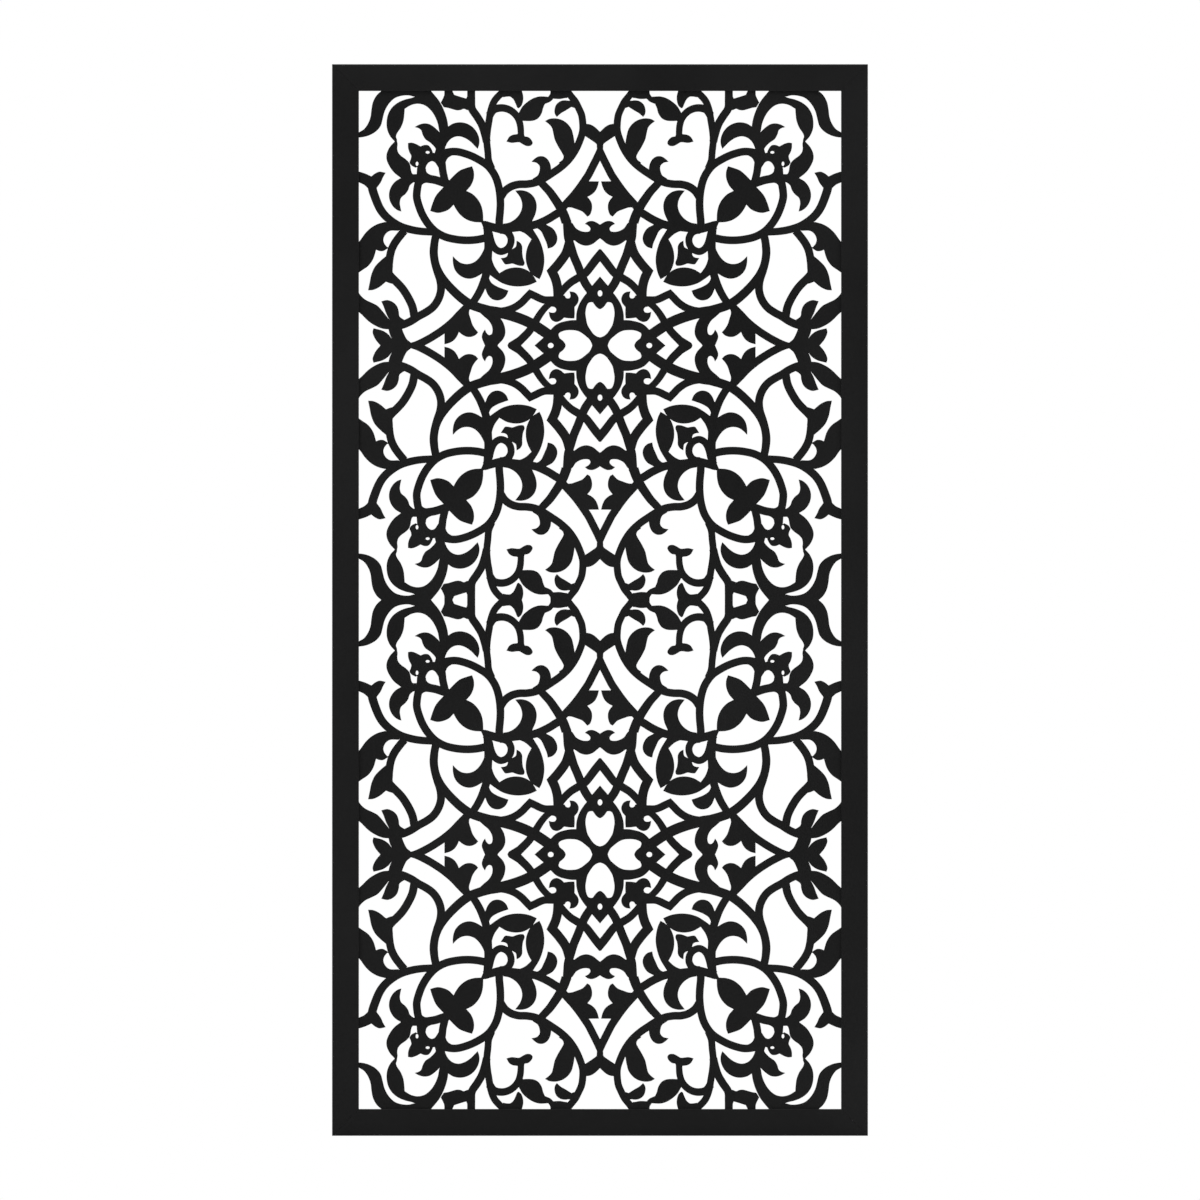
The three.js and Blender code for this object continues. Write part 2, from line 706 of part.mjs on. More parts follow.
function smoothRuns(points) {
  const cuts = [0];
  points.forEach((p, i) => {
    if (p[2] && i > 0 && i < points.length - 1) cuts.push(i);
  });
  cuts.push(points.length - 1);
  return cuts.slice(1).map((end, i) => smoothRun(points.slice(cuts[i], end + 1)));
}

function closedOutline(points) {
  const first = points.findIndex((p) => p[2]);
  const turned = [...points.slice(first), ...points.slice(0, first)];
  const runs = smoothRuns([...turned, turned[0]]);
  return runs.flatMap((run) => run.slice(0, -1));
}

// A stem is a band about its centre line, with a mitre where the line turns sharply
function stemOutline({ width, path }) {
  const bends = path.filter((p) => p[2]).map(([u, v]) => new THREE.Vector2(u, v));
  const clearOfBends = (point) =>
    bends.every((bend) => {
      const distance = point.distanceTo(bend);
      return distance < touching || distance > width[0] * bendShare;
    });
  const line = smoothRuns(path)
    .flatMap((run, i) => (i > 0 ? run.slice(1) : run))
    .filter(clearOfBends);
  const left = [];
  const right = [];
  line.forEach((point, i) => {
    const before = line[Math.max(i - 1, 0)];
    const after = line[Math.min(i + 1, line.length - 1)];
    const inward = point.clone().sub(before).normalize();
    const outward = after.clone().sub(point).normalize();
    const along = inward.clone().add(outward).normalize();
    const reach = i > 0 && i < line.length - 1 ? Math.max(along.dot(outward), 0.5) : 1;
    const half = THREE.MathUtils.lerp(width[0], width[1], i / (line.length - 1)) / 2 / reach;
    const normal = new THREE.Vector2(-along.y, along.x).multiplyScalar(half);
    left.push(point.clone().add(normal));
    right.unshift(point.clone().sub(normal));
  });
  return [...left, ...right];
}

function ellipseOutline({ centre, radii }) {
  const points = [];
  for (let i = 0; i < piercingSides; i += 1) {
    const angle = (2 * Math.PI * (i + 0.5)) / piercingSides;
    const u = centre[0] + radii[0] * Math.cos(angle);
    const v = centre[1] + radii[1] * Math.sin(angle);
    points.push(new THREE.Vector2(u, v));
  }
  return points;
}

// The air between stems and leaves in one quarter, as a flat solid
function quarterAir() {
  const slab = sheetThickness;
  const outlines = [...stems.map(stemOutline), ...leaves.map((leaf) => closedOutline(leaf.outline))];
  const metal = joinAll(outlines.map((points) => toSolid(extrude(points, slab))));
  const pierced = joinAll(piercings.map((piercing) => toSolid(extrude(ellipseOutline(piercing), slab))));
  const window = toSolid(box(0, drawnWidth, 0, drawnHeight, slab / 4, (3 * slab) / 4));
  return window.subtract(metal).add(pierced.intersect(window));
}

// Boundary loops of a flat solid, read off its upper face
function faceLoops(solid) {
  const { vertProperties, triVerts } = solid.getMesh();
  const top = Math.max(...vertProperties.filter((_, i) => i % 3 === 2));
  const onTop = (i) => Math.abs(vertProperties[3 * i + 2] - top) < 1e-4;
  const edges = new Map();
  for (let t = 0; t < triVerts.length; t += 3) {
    const ids = [triVerts[t], triVerts[t + 1], triVerts[t + 2]];
    if (!ids.every(onTop)) continue;
    for (let k = 0; k < 3; k += 1) edges.set(`${ids[k]},${ids[(k + 1) % 3]}`, [ids[k], ids[(k + 1) % 3]]);
  }
  const next = new Map();
  for (const [a, b] of edges.values()) {
    if (!edges.has(`${b},${a}`)) next.set(a, b);
  }
  const loops = [];
  while (next.size > 0) {
    const start = next.keys().next().value;
    const loop = [];
    let at = start;
    do {
      loop.push(new THREE.Vector2(vertProperties[3 * at], vertProperties[3 * at + 1]));
      const to = next.get(at);
      next.delete(at);
      at = to;
    } while (at !== start && next.has(at));
    loops.push(loop);
  }
  return loops.filter((loop) => Math.abs(THREE.ShapeUtils.area(loop)) > leastCutArea);
}

// How wide the metal or air beside each point is, so that thin strips keep their shape
function roomBeside(loops) {
  const nearby = 12;
  const all = loops.flatMap((loop, l) => loop.map((point, i) => ({ point, l, i, count: loop.length })));
  return loops.map((loop, l) =>
    loop.map((point, i) => {
      let least = Infinity;
      for (const other of all) {
        const distance = point.distanceTo(other.point);
        if (distance >= least) continue;
        const apart = Math.abs(other.i - i);
        const steps = other.l === l ? Math.min(apart, other.count - apart) : Infinity;
        if (steps * curveStep > Math.max(nearby, 2 * distance)) least = distance;
      }
      return least;
    }),
  );
}

function onQuarterEdge(point) {
  const side = Math.min(Math.abs(point.x), Math.abs(point.x - drawnWidth));
  const end = Math.min(Math.abs(point.y), Math.abs(point.y - drawnHeight));
  return Math.min(side, end) < touching;
}

// The point of a loop that lies a given length before or after another
function pointAlong(loop, i, step) {
  const count = loop.length;
  let at = i;
  let walked = 0;
  while (walked < cornerReach) {
    const to = (at + step + count) % count;
    walked += loop[at].distanceTo(loop[to]);
    at = to;
    if (at === i) break;
  }
  return loop[at];
}

function turnAt(loop, i) {
  const before = loop[i].clone().sub(pointAlong(loop, i, -1));
  const after = pointAlong(loop, i, 1).clone().sub(loop[i]);
  return Math.abs(Math.atan2(before.cross(after), before.dot(after)));
}

// Corners, and the points where a loop meets the edge of the quarter, always stay
function fixedPoints(loop) {
  const count = loop.length;
  const turns = loop.map((_, i) => turnAt(loop, i));
  const fixed = [];
  loop.forEach((point, i) => {
    let sharpest = turns[i] > cornerTurn;
    for (let k = 1; k < count && sharpest; k += 1) {
      const other = (i + k) % count;
      const tie = turns[other] === turns[i] && other < i;
      const near = point.distanceTo(loop[other]) < cornerReach;
      if (near && (turns[other] > turns[i] || tie) && !onQuarterEdge(loop[other])) sharpest = false;
    }
    if (onQuarterEdge(point) ? isEdgeEnd(loop, i) : sharpest) fixed.push(i);
  });
  return fixed.length > 1 ? fixed : [0, Math.floor(count / 2)];
}

// Of the points on the quarter's edge, its corners and those next to the inner part are needed
function isEdgeEnd(loop, i) {
  const count = loop.length;
  const before = loop[(i + count - 1) % count];
  const after = loop[(i + 1) % count];
  const atCorner = Math.abs(after.clone().sub(loop[i]).cross(loop[i].clone().sub(before))) > 1e-6;
  return atCorner || !onQuarterEdge(before) || !onQuarterEdge(after);
}

// Keeps the points that the shape needs: its corners, and enough of each curve
function thinLoop(loop, room) {
  const count = loop.length;
  const fixed = fixedPoints(loop);
  const kept = [];
  const split = (a, b) => {
    const from = loop[a % count];
    const to = loop[b % count];
    const chord = to.clone().sub(from);
    const length = chord.length() || 1;
    let worst = 1;
    let at = -1;
    for (let i = a + 1; i < b; i += 1) {
      const point = loop[i % count];
      const off = Math.abs(chord.cross(point.clone().sub(from))) / length;
      const allowed = Math.min(facetTolerance, narrowShare * room[i % count]);
      if (off / allowed > worst) {
        worst = off / allowed;
        at = i;
      }
    }
    if (at < 0) return;
    split(a, at);
    kept.push(at % count);
    split(at, b);
  };
  fixed.forEach((a, k) => {
    const b = k + 1 < fixed.length ? fixed[k + 1] : fixed[0] + count;
    kept.push(a);
    split(a, b);
  });
  return balance(loop, room, kept, new Set(fixed));
}

// Moves each point of a curve outwards a little, so that the flats keep the curve's area
function balance(loop, room, kept, fixed) {
  const count = loop.length;
  const slice = (a, b) => {
    const points = [];
    for (let i = a; i !== b; i = (i + 1) % count) points.push(loop[i]);
    points.push(loop[b]);
    return THREE.ShapeUtils.area(points);
  };
  return kept.map((i, k) => {
    if (fixed.has(i)) return loop[i];
    const before = kept[(k + kept.length - 1) % kept.length];
    const after = kept[(k + 1) % kept.length];
    const chord = loop[after].clone().sub(loop[before]);
    const missing = (slice(before, i) + slice(i, after)) / chord.length();
    const outward = new THREE.Vector2(chord.y, -chord.x).normalize();
    const most = shiftShare * room[i];
    return loop[i].clone().addScaledVector(outward, THREE.MathUtils.clamp(missing, -most, most));
  });
}

// Cutters for the whole opening: the quarter's openings, mirrored about each medallion
function openingCutters() {
  const loops = faceLoops(quarterAir());
  const room = roomBeside(loops);
  const scale = new THREE.Vector2(quarterWidth / drawnWidth, quarterHeight / drawnHeight);
  const cells = loops.map((loop, i) => thinLoop(loop, room[i]).map((point) => point.multiply(scale)));
  const cutters = [];
  for (let row = 0; row < medallionsHigh; row += 1) {
    const centreZ = frameFace + quarterHeight * (2 * row + 1);
    for (const sideways of [-1, 1]) {
      for (const upwards of [-1, 1]) {
        for (const cell of cells) {
          const points = cell.map((p) => new THREE.Vector2(sideways * p.x, centreZ + upwards * p.y));
          const cutter = extrude(points, 3 * sheetThickness);
          cutter.rotateX(Math.PI / 2);
          cutter.translate(0, sheetFrontY + 2 * sheetThickness, 0);
          cutters.push(toSolid(cutter));
        }
      }
    }
  }
  return joinAll(cutters);
}

// Pieces

function piece(name, geometry, material) {
  const mesh = new THREE.Mesh(geometry, material);
  mesh.name = name;
  return mesh;
}

function cutSheet() {
  const rebate = tubeWidth + edgeClearance;
  const halfWidth = panelWidth / 2 - rebate;
  const backY = sheetFrontY + sheetThickness;
  const blank = toSolid(box(-halfWidth, halfWidth, sheetFrontY, backY, rebate, panelHeight - rebate));
  return piece("laser_cut_sheet", toGeometry(blank.subtract(openingCutters())), coat);
}

// A member lies along X with its outer edge at z = 0 and its ends mitred at 45 degrees
function mitredBar(section, hole, length, gap) {
  const shape = new THREE.Shape(section.map(([across, deep]) => new THREE.Vector2(across, deep)));
  if (hole) shape.holes.push(new THREE.Path(hole.map(([a, d]) => new THREE.Vector2(a, d))));
  const geometry = new THREE.ExtrudeGeometry(shape, { depth: 1, bevelEnabled: false });
  const position = geometry.attributes.position;
  for (let i = 0; i < position.count; i += 1) {
    const across = position.getX(i);
    const deep = position.getY(i);
    const reach = length / 2 - across - gap;
    const x = position.getZ(i) > 0.5 ? -reach : reach;
    position.setXYZ(i, x, deep, across);
  }
  return geometry;
}

function rectangle(a0, a1, d0, d1) {
  return [[a0, d0], [a1, d0], [a1, d1], [a0, d1]];
}

const memberSection = [
  [0, frontY],
  [frameFace, frontY],
  [frameFace, frontY + lipThickness],
  [tubeWidth, frontY + lipThickness],
  [tubeWidth, -frontY],
  [0, -frontY],
];
const chamber = rectangle(tubeWall, tubeWidth - tubeWall, frontY + tubeWall, -frontY - tubeWall);

// The four sides, each laid out along the bottom edge and then turned into place
const sides = [
  { name: "bottom", length: panelWidth, turn: 0, centre: [0, 0] },
  { name: "right", length: panelHeight, turn: 1, centre: [panelWidth / 2, panelHeight / 2] },
  { name: "top", length: panelWidth, turn: 2, centre: [0, panelHeight] },
  { name: "left", length: panelHeight, turn: 3, centre: [-panelWidth / 2, panelHeight / 2] },
];

function screwPlaces(length) {
  const span = length - 2 * tubeWidth - 2 * screwEndDistance;
  const count = Math.ceil(span / screwMaxSpacing) + 1;
  return Array.from({ length: count }, (_, i) => (count > 1 ? (i / (count - 1) - 0.5) * span : 0));
}

const screwY = beadFrontY + beadDepth / 2;
const beadInner = tubeWidth + seatGap + beadWidth;

function screwHole(x, radius, z0, z1) {
  const hole = new THREE.CylinderGeometry(radius, radius, z1 - z0, screwSides);
  hole.rotateX(Math.PI / 2);
  hole.translate(x, screwY, (z0 + z1) / 2);
  return toSolid(hole);
}

function drilled(geometry, length, z0, z1) {
  const radius = screwShankRadius + screwClearance;
  const holes = screwPlaces(length).map((x) => screwHole(x, radius, z0, z1));
  return toGeometry(toSolid(geometry).subtract(joinAll(holes)));
}

function screwGeometry() {
  const headZ = beadInner + seatGap;
  const tipZ = tubeWidth - tubeWall - screwBeyondWall;
  const profile = [
    [0, tipZ],
    [screwShankRadius * screwTipShare, tipZ],
    [screwShankRadius, tipZ + screwBeyondWall / 2],
    [screwShankRadius, headZ],
    [screwHeadRadius, headZ],
    [screwHeadRadius * screwCrownShare, headZ + screwHeadHeight],
    [0, headZ + screwHeadHeight],
  ].map(([radius, z]) => new THREE.Vector2(radius, z));
  const geometry = new THREE.LatheGeometry(profile, screwSides);
  geometry.rotateX(Math.PI / 2);
  return geometry;
}

function sideGroup({ name, length, turn, centre }) {
  const group = new THREE.Group();
  const wall = [tubeWidth - tubeWall - drillOvershoot, tubeWidth + drillOvershoot];
  const member = mitredBar(memberSection, chamber, length, mitreGap / 2);
  group.add(piece(`frame_${name}`, drilled(member, length, wall[0], wall[1]), coat));
  const beadStart = tubeWidth + seatGap;
  const beadSection = rectangle(beadStart, beadInner, beadFrontY, beadFrontY + beadDepth);
  const bead = mitredBar(beadSection, null, length, mitreGap / 2);
  const across = [beadStart - drillOvershoot, beadInner + drillOvershoot];
  group.add(piece(`bead_${name}`, drilled(bead, length, across[0], across[1]), coat));
  screwPlaces(length).forEach((x, i) => {
    const screw = piece(`screw_${name}_${i + 1}`, screwGeometry(), screwMetal);
    screw.position.set(x, screwY, 0);
    group.add(screw);
  });
  group.rotation.y = (-turn * Math.PI) / 2;
  group.position.set(centre[0], 0, centre[1]);
  return group;
}

// An L of flat bar that fills the tubes of two members at their mitre
function cornerKey(name, sideX, sideZ) {
  const outer = tubeWall + keyClearance;
  const inner = tubeWidth - tubeWall - keyClearance;
  const outline = [
    [outer, outer],
    [keyArm, outer],
    [keyArm, inner],
    [inner, inner],
    [inner, keyArm],
    [outer, keyArm],
  ].map(([a, b]) => {
    const x = sideX * (panelWidth / 2 - a);
    const z = sideZ > 0 ? panelHeight - b : b;
    return new THREE.Vector2(x, z);
  });
  const depth = frameDepth - 2 * (tubeWall + keyClearance);
  const geometry = extrude(outline, depth);
  geometry.rotateX(Math.PI / 2);
  geometry.translate(0, depth / 2, 0);
  return piece(`corner_key_${name}`, geometry, keyMetal);
}

const screen = new THREE.Group();
screen.add(cutSheet());
sides.forEach((side) => screen.add(sideGroup(side)));
screen.add(cornerKey("bottom_left", -1, -1));
screen.add(cornerKey("bottom_right", 1, -1));
screen.add(cornerKey("top_right", 1, 1));
screen.add(cornerKey("top_left", -1, 1));
screen.updateMatrixWorld(true);

export default screen;
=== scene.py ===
import math
import bmesh
import bpy
import numpy as np
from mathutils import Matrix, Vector
from mathutils.geometry import delaunay_2d_cdt


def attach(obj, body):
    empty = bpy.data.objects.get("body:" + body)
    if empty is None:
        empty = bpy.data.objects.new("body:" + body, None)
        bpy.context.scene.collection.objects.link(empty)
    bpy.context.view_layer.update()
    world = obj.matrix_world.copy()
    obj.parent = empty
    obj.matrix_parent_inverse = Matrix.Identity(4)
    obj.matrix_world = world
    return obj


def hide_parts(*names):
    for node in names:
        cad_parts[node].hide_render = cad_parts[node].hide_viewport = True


# Laser cut screen: a black arabesque sheet held by beads in a mitred steel frame
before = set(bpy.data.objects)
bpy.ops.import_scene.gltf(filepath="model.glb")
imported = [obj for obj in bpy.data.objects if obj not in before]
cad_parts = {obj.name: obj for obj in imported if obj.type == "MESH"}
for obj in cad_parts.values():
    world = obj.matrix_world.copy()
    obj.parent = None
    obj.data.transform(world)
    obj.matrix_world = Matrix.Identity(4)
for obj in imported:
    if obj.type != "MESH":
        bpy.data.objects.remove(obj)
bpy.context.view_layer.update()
mm = 0.001
touching = 1e-3  # points closer than this are the same point
print("frame loaded:", len(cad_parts), "nodes")

panel = {
    "width": 600,
    "height": 1200,
    "border": 30,  # frame as it shows from the front
    "depth": 25,
}
frontY = -panel["depth"] / 2

# Flat geometry, all in millimetres
def smoothRun(points, step):
    # an even, rounded line through the points, as a bent strip would lie
    p = np.array([q[:2] for q in points], float)
    ends = np.vstack([2 * p[0] - p[1], p, 2 * p[-1] - p[-2]])
    line = []
    for a, b, c, d in zip(ends, ends[1:], ends[2:], ends[3:]):
        da, db, dc = [max(math.dist(m, n) ** 0.5, 1e-3) for m, n in ((a, b), (b, c), (c, d))]
        leave = ((b - a) / da - (c - a) / (da + db) + (c - b) / db) * db
        arrive = ((c - b) / db - (d - b) / (db + dc) + (d - c) / dc) * db
        count = max(2, math.ceil(math.dist(b, c) / step))
        t = (np.arange(count) / count)[:, None]
        curve = b + leave * t + (3 * (c - b) - 2 * leave - arrive) * t**2
        line.append(curve + (2 * (b - c) + leave + arrive) * t**3)
    return np.vstack([*line, p[-1:]])


def smoothLine(points, step):
    # smooth between the points marked as turns, sharp at them
    cuts = [0] + [i for i in range(1, len(points) - 1) if len(points[i]) > 2] + [len(points) - 1]
    runs = [smoothRun(points[a:b + 1], step) for a, b in zip(cuts, cuts[1:])]
    return np.vstack([runs[0]] + [run[1:] for run in runs[1:]])


def leafOutline(points, step):
    first = next(i for i, q in enumerate(points) if len(q) > 2)
    turned = points[first:] + points[:first]
    return smoothLine(turned + turned[:1], step)[:-1]


def stemOutline(width, path, step):
    # a band about its centre line, mitred where the line turns sharply
    bends = [q[:2] for q in path if len(q) > 2]
    clear = width[0] * sheet["bendShare"]
    line = np.array([
        p for p in smoothLine(path, step)
        if all(not touching < math.dist(p, bend) < clear for bend in bends)
    ])
    ahead = np.diff(line, axis=0)
    ahead /= np.linalg.norm(ahead, axis=1)[:, None]
    inward = np.vstack([ahead[:1], ahead])
    outward = np.vstack([ahead, ahead[-1:]])
    along = inward + outward
    along /= np.linalg.norm(along, axis=1)[:, None]
    reach = np.maximum((along * outward).sum(1), sheet["mitreLimit"])
    half = np.linspace(width[0], width[1], len(line)) / 2 / reach
    side = np.stack([-along[:, 1], along[:, 0]], 1) * half[:, None]
    return np.vstack([line + side, (line - side)[::-1]])


def ellipseOutline(centre, radii, count=32):
    angle = np.arange(count) * 2 * math.pi / count
    return np.stack([centre[0] + radii[0] * np.cos(angle), centre[1] + radii[1] * np.sin(angle)], 1)


def rectangleOutline(x0, x1, y0, y1):
    return np.array([(x0, y0), (x1, y0), (x1, y1), (x0, y1)], float)


def winding(points, loops):
    # how many times the loops go round each point
    starts = np.vstack(loops)
    ends = np.vstack([np.roll(loop, -1, axis=0) for loop in loops])
    turns = np.zeros(len(points), int)
    batch = 1500
    for i in range(0, len(points), batch):
        p = points[i:i + batch, None]
        cross = (ends[:, 0] - starts[:, 0]) * (p[..., 1] - starts[:, 1])
        cross = cross - (ends[:, 1] - starts[:, 1]) * (p[..., 0] - starts[:, 0])
        below, above = starts[:, 1] <= p[..., 1], ends[:, 1] <= p[..., 1]
        rising, falling = below & ~above & (cross > 0), ~below & above & (cross < 0)
        turns[i:i + batch] = rising.sum(1) - falling.sum(1)
    return turns


def triangulate(loops):
    # triangles that follow every loop, over all of the ground that the loops span
    points, edges = [], []
    for loop in loops:
        base, count = len(points), len(loop)
        points += [Vector(p) for p in loop]
        edges += [(base + i, base + (i + 1) % count) for i in range(count)]
    closeness = 1e-5
    found = delaunay_2d_cdt(points, edges, [], 0, closeness)
    return np.array([tuple(v) for v in found[0]]), np.array([list(f) for f in found[2]])


def centres(points, triangles):
    return points[triangles].mean(1)


def fillLoops(loops):
    points, triangles = triangulate(loops)
    return points, triangles[winding(centres(points, triangles), loops) != 0]


def rimEdges(triangles):
    # edges with a face on one side only, with the face on their left
    edges = np.vstack([triangles[:, [0, 1]], triangles[:, [1, 2]], triangles[:, [2, 0]]])
    order = edges[:, 0].astype(np.int64) * (edges.max() + 1) + edges[:, 1]
    back = edges[:, 1].astype(np.int64) * (edges.max() + 1) + edges[:, 0]
    return edges[~np.isin(order, back)]


def rimLoops(points, triangles):
    # the rim edges strung together into closed loops
    following = {}
    for a, b in rimEdges(triangles):
        following.setdefault(int(a), []).append(int(b))
    loops = []
    while following:
        at = start = next(iter(following))
        loop = []
        while at in following:
            loop.append(at)
            ways = following[at]
            to = ways.pop()
            if not ways:
                del following[at]
            at = to
            if at == start:
                break
        loops.append(points[loop])
    return loops


def thinned(loop, tolerance):
    # leaves out the points that the curve doesn't need
    far = int(np.argmax(np.linalg.norm(loop - loop[0], axis=1)))
    ring = np.vstack([loop, loop[:1]])
    kept = {0, far}
    spans = [(0, far), (far, len(loop))]
    while spans:
        a, b = spans.pop()
        if b - a < 2:
            continue
        chord = ring[b] - ring[a]
        length = max(float(np.linalg.norm(chord)), 1e-9)
        off = ring[a + 1:b] - ring[a]
        away = np.abs(chord[0] * off[:, 1] - chord[1] * off[:, 0]) / length
        worst = int(np.argmax(away))
        if away[worst] > tolerance:
            kept.add(a + 1 + worst)
            spans += [(a, a + 1 + worst), (a + 1 + worst, b)]
    chosen = sorted(kept)
    least = sheet["leastStep"]
    apart = [i for n, i in enumerate(chosen) if math.dist(ring[i], ring[chosen[n - 1]]) > least]
    return loop[apart]


# Solids, in metres
def newPiece(name, verts, faces):
    mesh = bpy.data.meshes.new(name)
    mesh.from_pydata([tuple(v) for v in verts], [], [tuple(int(i) for i in f) for f in faces])
    mesh.update()
    piece = bpy.data.objects.new(name, mesh)
    bpy.context.scene.collection.objects.link(piece)
    return piece


def outwards(piece):
    made = bmesh.new()
    made.from_mesh(piece.data)
    bmesh.ops.recalc_face_normals(made, faces=made.faces)
    made.to_mesh(piece.data)
    made.free()


def crease(piece, limit=40, flats=True):
    # flats stay flat up to their rounded edges, and the rounded edges shade smoothly
    squareOn, leastTurn = 0.9999, 3
    made = bmesh.new()
    made.from_mesh(piece.data)
    square = [flats and max(abs(part) for part in face.normal) > squareOn for face in made.faces]
    for face in made.faces:
        face.smooth = True
    for edge in made.edges:
        if len(edge.link_faces) == 2:
            one, other = edge.link_faces
            angle = math.degrees(edge.calc_face_angle(0))
            mixed = square[one.index] != square[other.index] and angle > leastTurn
            edge.smooth = not (mixed or angle > limit)
    made.to_mesh(piece.data)
    made.free()


def finishPiece(piece, material, slotName, *nodes):
    piece.data.materials.append(material)
    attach(piece, "root")
    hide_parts(*nodes)


# Finishes
class Shade:  # a socket that adds its own Math nodes when it is used in a sum
    def __init__(self, finish, socket):
        self.finish = finish
        self.socket = socket

    def maths(self, operation, other):
        return self.finish.node("ShaderNodeMath", {"operation": operation}, {0: self, 1: other})

    def __add__(self, other):
        return self.maths("ADD", other)

    def __sub__(self, other):
        return self.maths("SUBTRACT", other)

    def __mul__(self, other):
        return self.maths("MULTIPLY", other)

    __radd__ = __add__
    __rmul__ = __mul__


class Finish:  # the nodes of one material, or of the studio's world
    def __init__(self, owner):
        owner.use_nodes = True
        self.owner = owner
        self.tree = owner.node_tree
        self.tree.nodes.clear()

    def node(self, kind, settings, inputs, output=0):
        made = self.tree.nodes.new(kind)
        for name, value in settings.items():
            setattr(made, name, value)
        for name, value in inputs.items():
            if isinstance(value, Shade):
                self.tree.links.new(value.socket, made.inputs[name])
            else:
                made.inputs[name].default_value = value
        return Shade(self, made.outputs[output]) if len(made.outputs) else None

    def place(self, stretch=(1, 1, 1)):
        at = self.node("ShaderNodeTexCoord", {}, {}, "Object")
        return self.node("ShaderNodeMapping", {}, {"Vector": at, "Scale": stretch})

    def cloud(self, at, scale, detail):
        return self.node("ShaderNodeTexNoise", {}, {"Vector": at, "Scale": scale, "Detail": detail})

    def band(self, value, span, out=(0, 1)):
        # the value's span becomes the span given by out, smoothly
        inputs = {"Value": value, "From Min": span[0], "From Max": span[1]}
        inputs.update({"To Min": out[0], "To Max": out[1]})
        return self.node("ShaderNodeMapRange", {"interpolation_type": "SMOOTHSTEP"}, inputs)

    def blendColours(self, factor, first, second):
        inputs = {0: factor, 6: first, 7: second}
        return self.node("ShaderNodeMix", {"data_type": "RGBA"}, inputs, 2)

    def bump(self, height, depth):
        return self.node("ShaderNodeBump", {}, {"Height": height, "Distance": depth, "Strength": 1})

    def close(self, **sockets):
        inputs = {name.replace("_", " "): value for name, value in sockets.items()}
        surface = self.node("ShaderNodeBsdfPrincipled", {}, inputs)
        self.node("ShaderNodeOutputMaterial", {}, {"Surface": surface})
        return self.owner


def grey(value):
    coolness = 1.04
    return (value, value, value * coolness, 1)


coating = {
    "colour": 0.0028,
    "faded": 0.0045,
    "fadeLevel": (0.35, 0.7),
    "broadScale": 5,  # patches per metre
    "dust": 0.04,
    "dustShare": 0.35,
    "dustScale": 60,
    "dustLevel": (0.42, 0.68),
    "dustSlope": (0.6, 0.98),  # how far a face looks up, from bare to dusty
    "dustRoughness": 0.3,
    "grainSize": 0.0009,  # metres
    "grainDepth": 0.000035,
    "grainRoughness": 0.06,
    "poreScale": 0.4,  # as a share of the grain's
    "poreHeight": 0.6,
    "roughness": (0.46, 0.58),
    "roughLevel": (0.3, 0.7),
    "shine": 0.15,
}


def powderCoat():
    finish = Finish(bpy.data.materials.new("black_powder_coat"))
    at = finish.place()
    grain = finish.cloud(at, 1 / coating["grainSize"], 3)
    pores = finish.cloud(at, coating["poreScale"] / coating["grainSize"], 1)
    broad = finish.cloud(at, coating["broadScale"], 3)
    height = grain + coating["poreHeight"] * pores
    facing = finish.node("ShaderNodeNewGeometry", {}, {}, "Normal")
    upward = finish.node("ShaderNodeSeparateXYZ", {}, {0: facing}, "Z")
    settled = finish.band(finish.cloud(at, coating["dustScale"], 5), coating["dustLevel"])
    dust = finish.band(upward, coating["dustSlope"]) * settled * coating["dustShare"]
    fade = finish.band(broad, coating["fadeLevel"])
    coat = finish.blendColours(fade, grey(coating["colour"]), grey(coating["faded"]))
    roughness = finish.band(broad, coating["roughLevel"], coating["roughness"])
    roughness += coating["grainRoughness"] * (grain - 0.5) + coating["dustRoughness"] * dust
    return finish.close(
        Base_Color=finish.blendColours(dust, coat, grey(coating["dust"])),
        Roughness=roughness,
        Specular_IOR_Level=coating["shine"],
        Normal=finish.bump(height, coating["grainDepth"]),
    )


screwFinish = {
    "colour": 0.035,
    "worn": 0.16,
    "wornShare": 0.5,
    "wornLevel": (0.56, 0.72),
    "patchScale": 420,
    "lineScale": 1400,
    "lineStretch": (1, 9, 1),
    "lineDepth": 0.00001,
    "metallic": 0.85,
    "roughness": 0.34,
    "lineRoughness": 0.2,
    "patchRoughness": 0.1,
}


def blackedSteel():
    finish = Finish(bpy.data.materials.new("blacked_screw_steel"))
    patches = finish.cloud(finish.place(), screwFinish["patchScale"], 4)
    lines = finish.cloud(finish.place(screwFinish["lineStretch"]), screwFinish["lineScale"], 3)
    worn = finish.band(patches, screwFinish["wornLevel"]) * screwFinish["wornShare"]
    roughness = screwFinish["roughness"] + screwFinish["lineRoughness"] * (lines - 0.5)
    return finish.close(
        Base_Color=finish.blendColours(worn, grey(screwFinish["colour"]), grey(screwFinish["worn"])),
        Metallic=screwFinish["metallic"],
        Roughness=roughness + screwFinish["patchRoughness"] * patches,
        Normal=finish.bump(lines, screwFinish["lineDepth"]),
    )


keyFinish = {
    "colour": 0.56,
    "dull": 0.4,
    "patchScale": 35,
    "lineScale": 90,
    "lineStretch": (2, 60, 2),
    "lineDepth": 0.00002,
    "roughness": 0.38,
    "lineRoughness": 0.25,
}


def millAluminium():
    finish = Finish(bpy.data.materials.new("mill_aluminium"))
    lines = finish.cloud(finish.place(keyFinish["lineStretch"]), keyFinish["lineScale"], 4)
    patches = finish.cloud(finish.place(), keyFinish["patchScale"], 4)
    return finish.close(
        Base_Color=finish.blendColours(patches, grey(keyFinish["colour"]), grey(keyFinish["dull"])),
        Metallic=1.0,
        Roughness=keyFinish["roughness"] + keyFinish["lineRoughness"] * (lines - 0.5),
        Normal=finish.bump(lines, keyFinish["lineDepth"]),
    )


blackCoat = powderCoat()
screwSteel = blackedSteel()
keyAluminium = millAluminium()
print("finishes made")


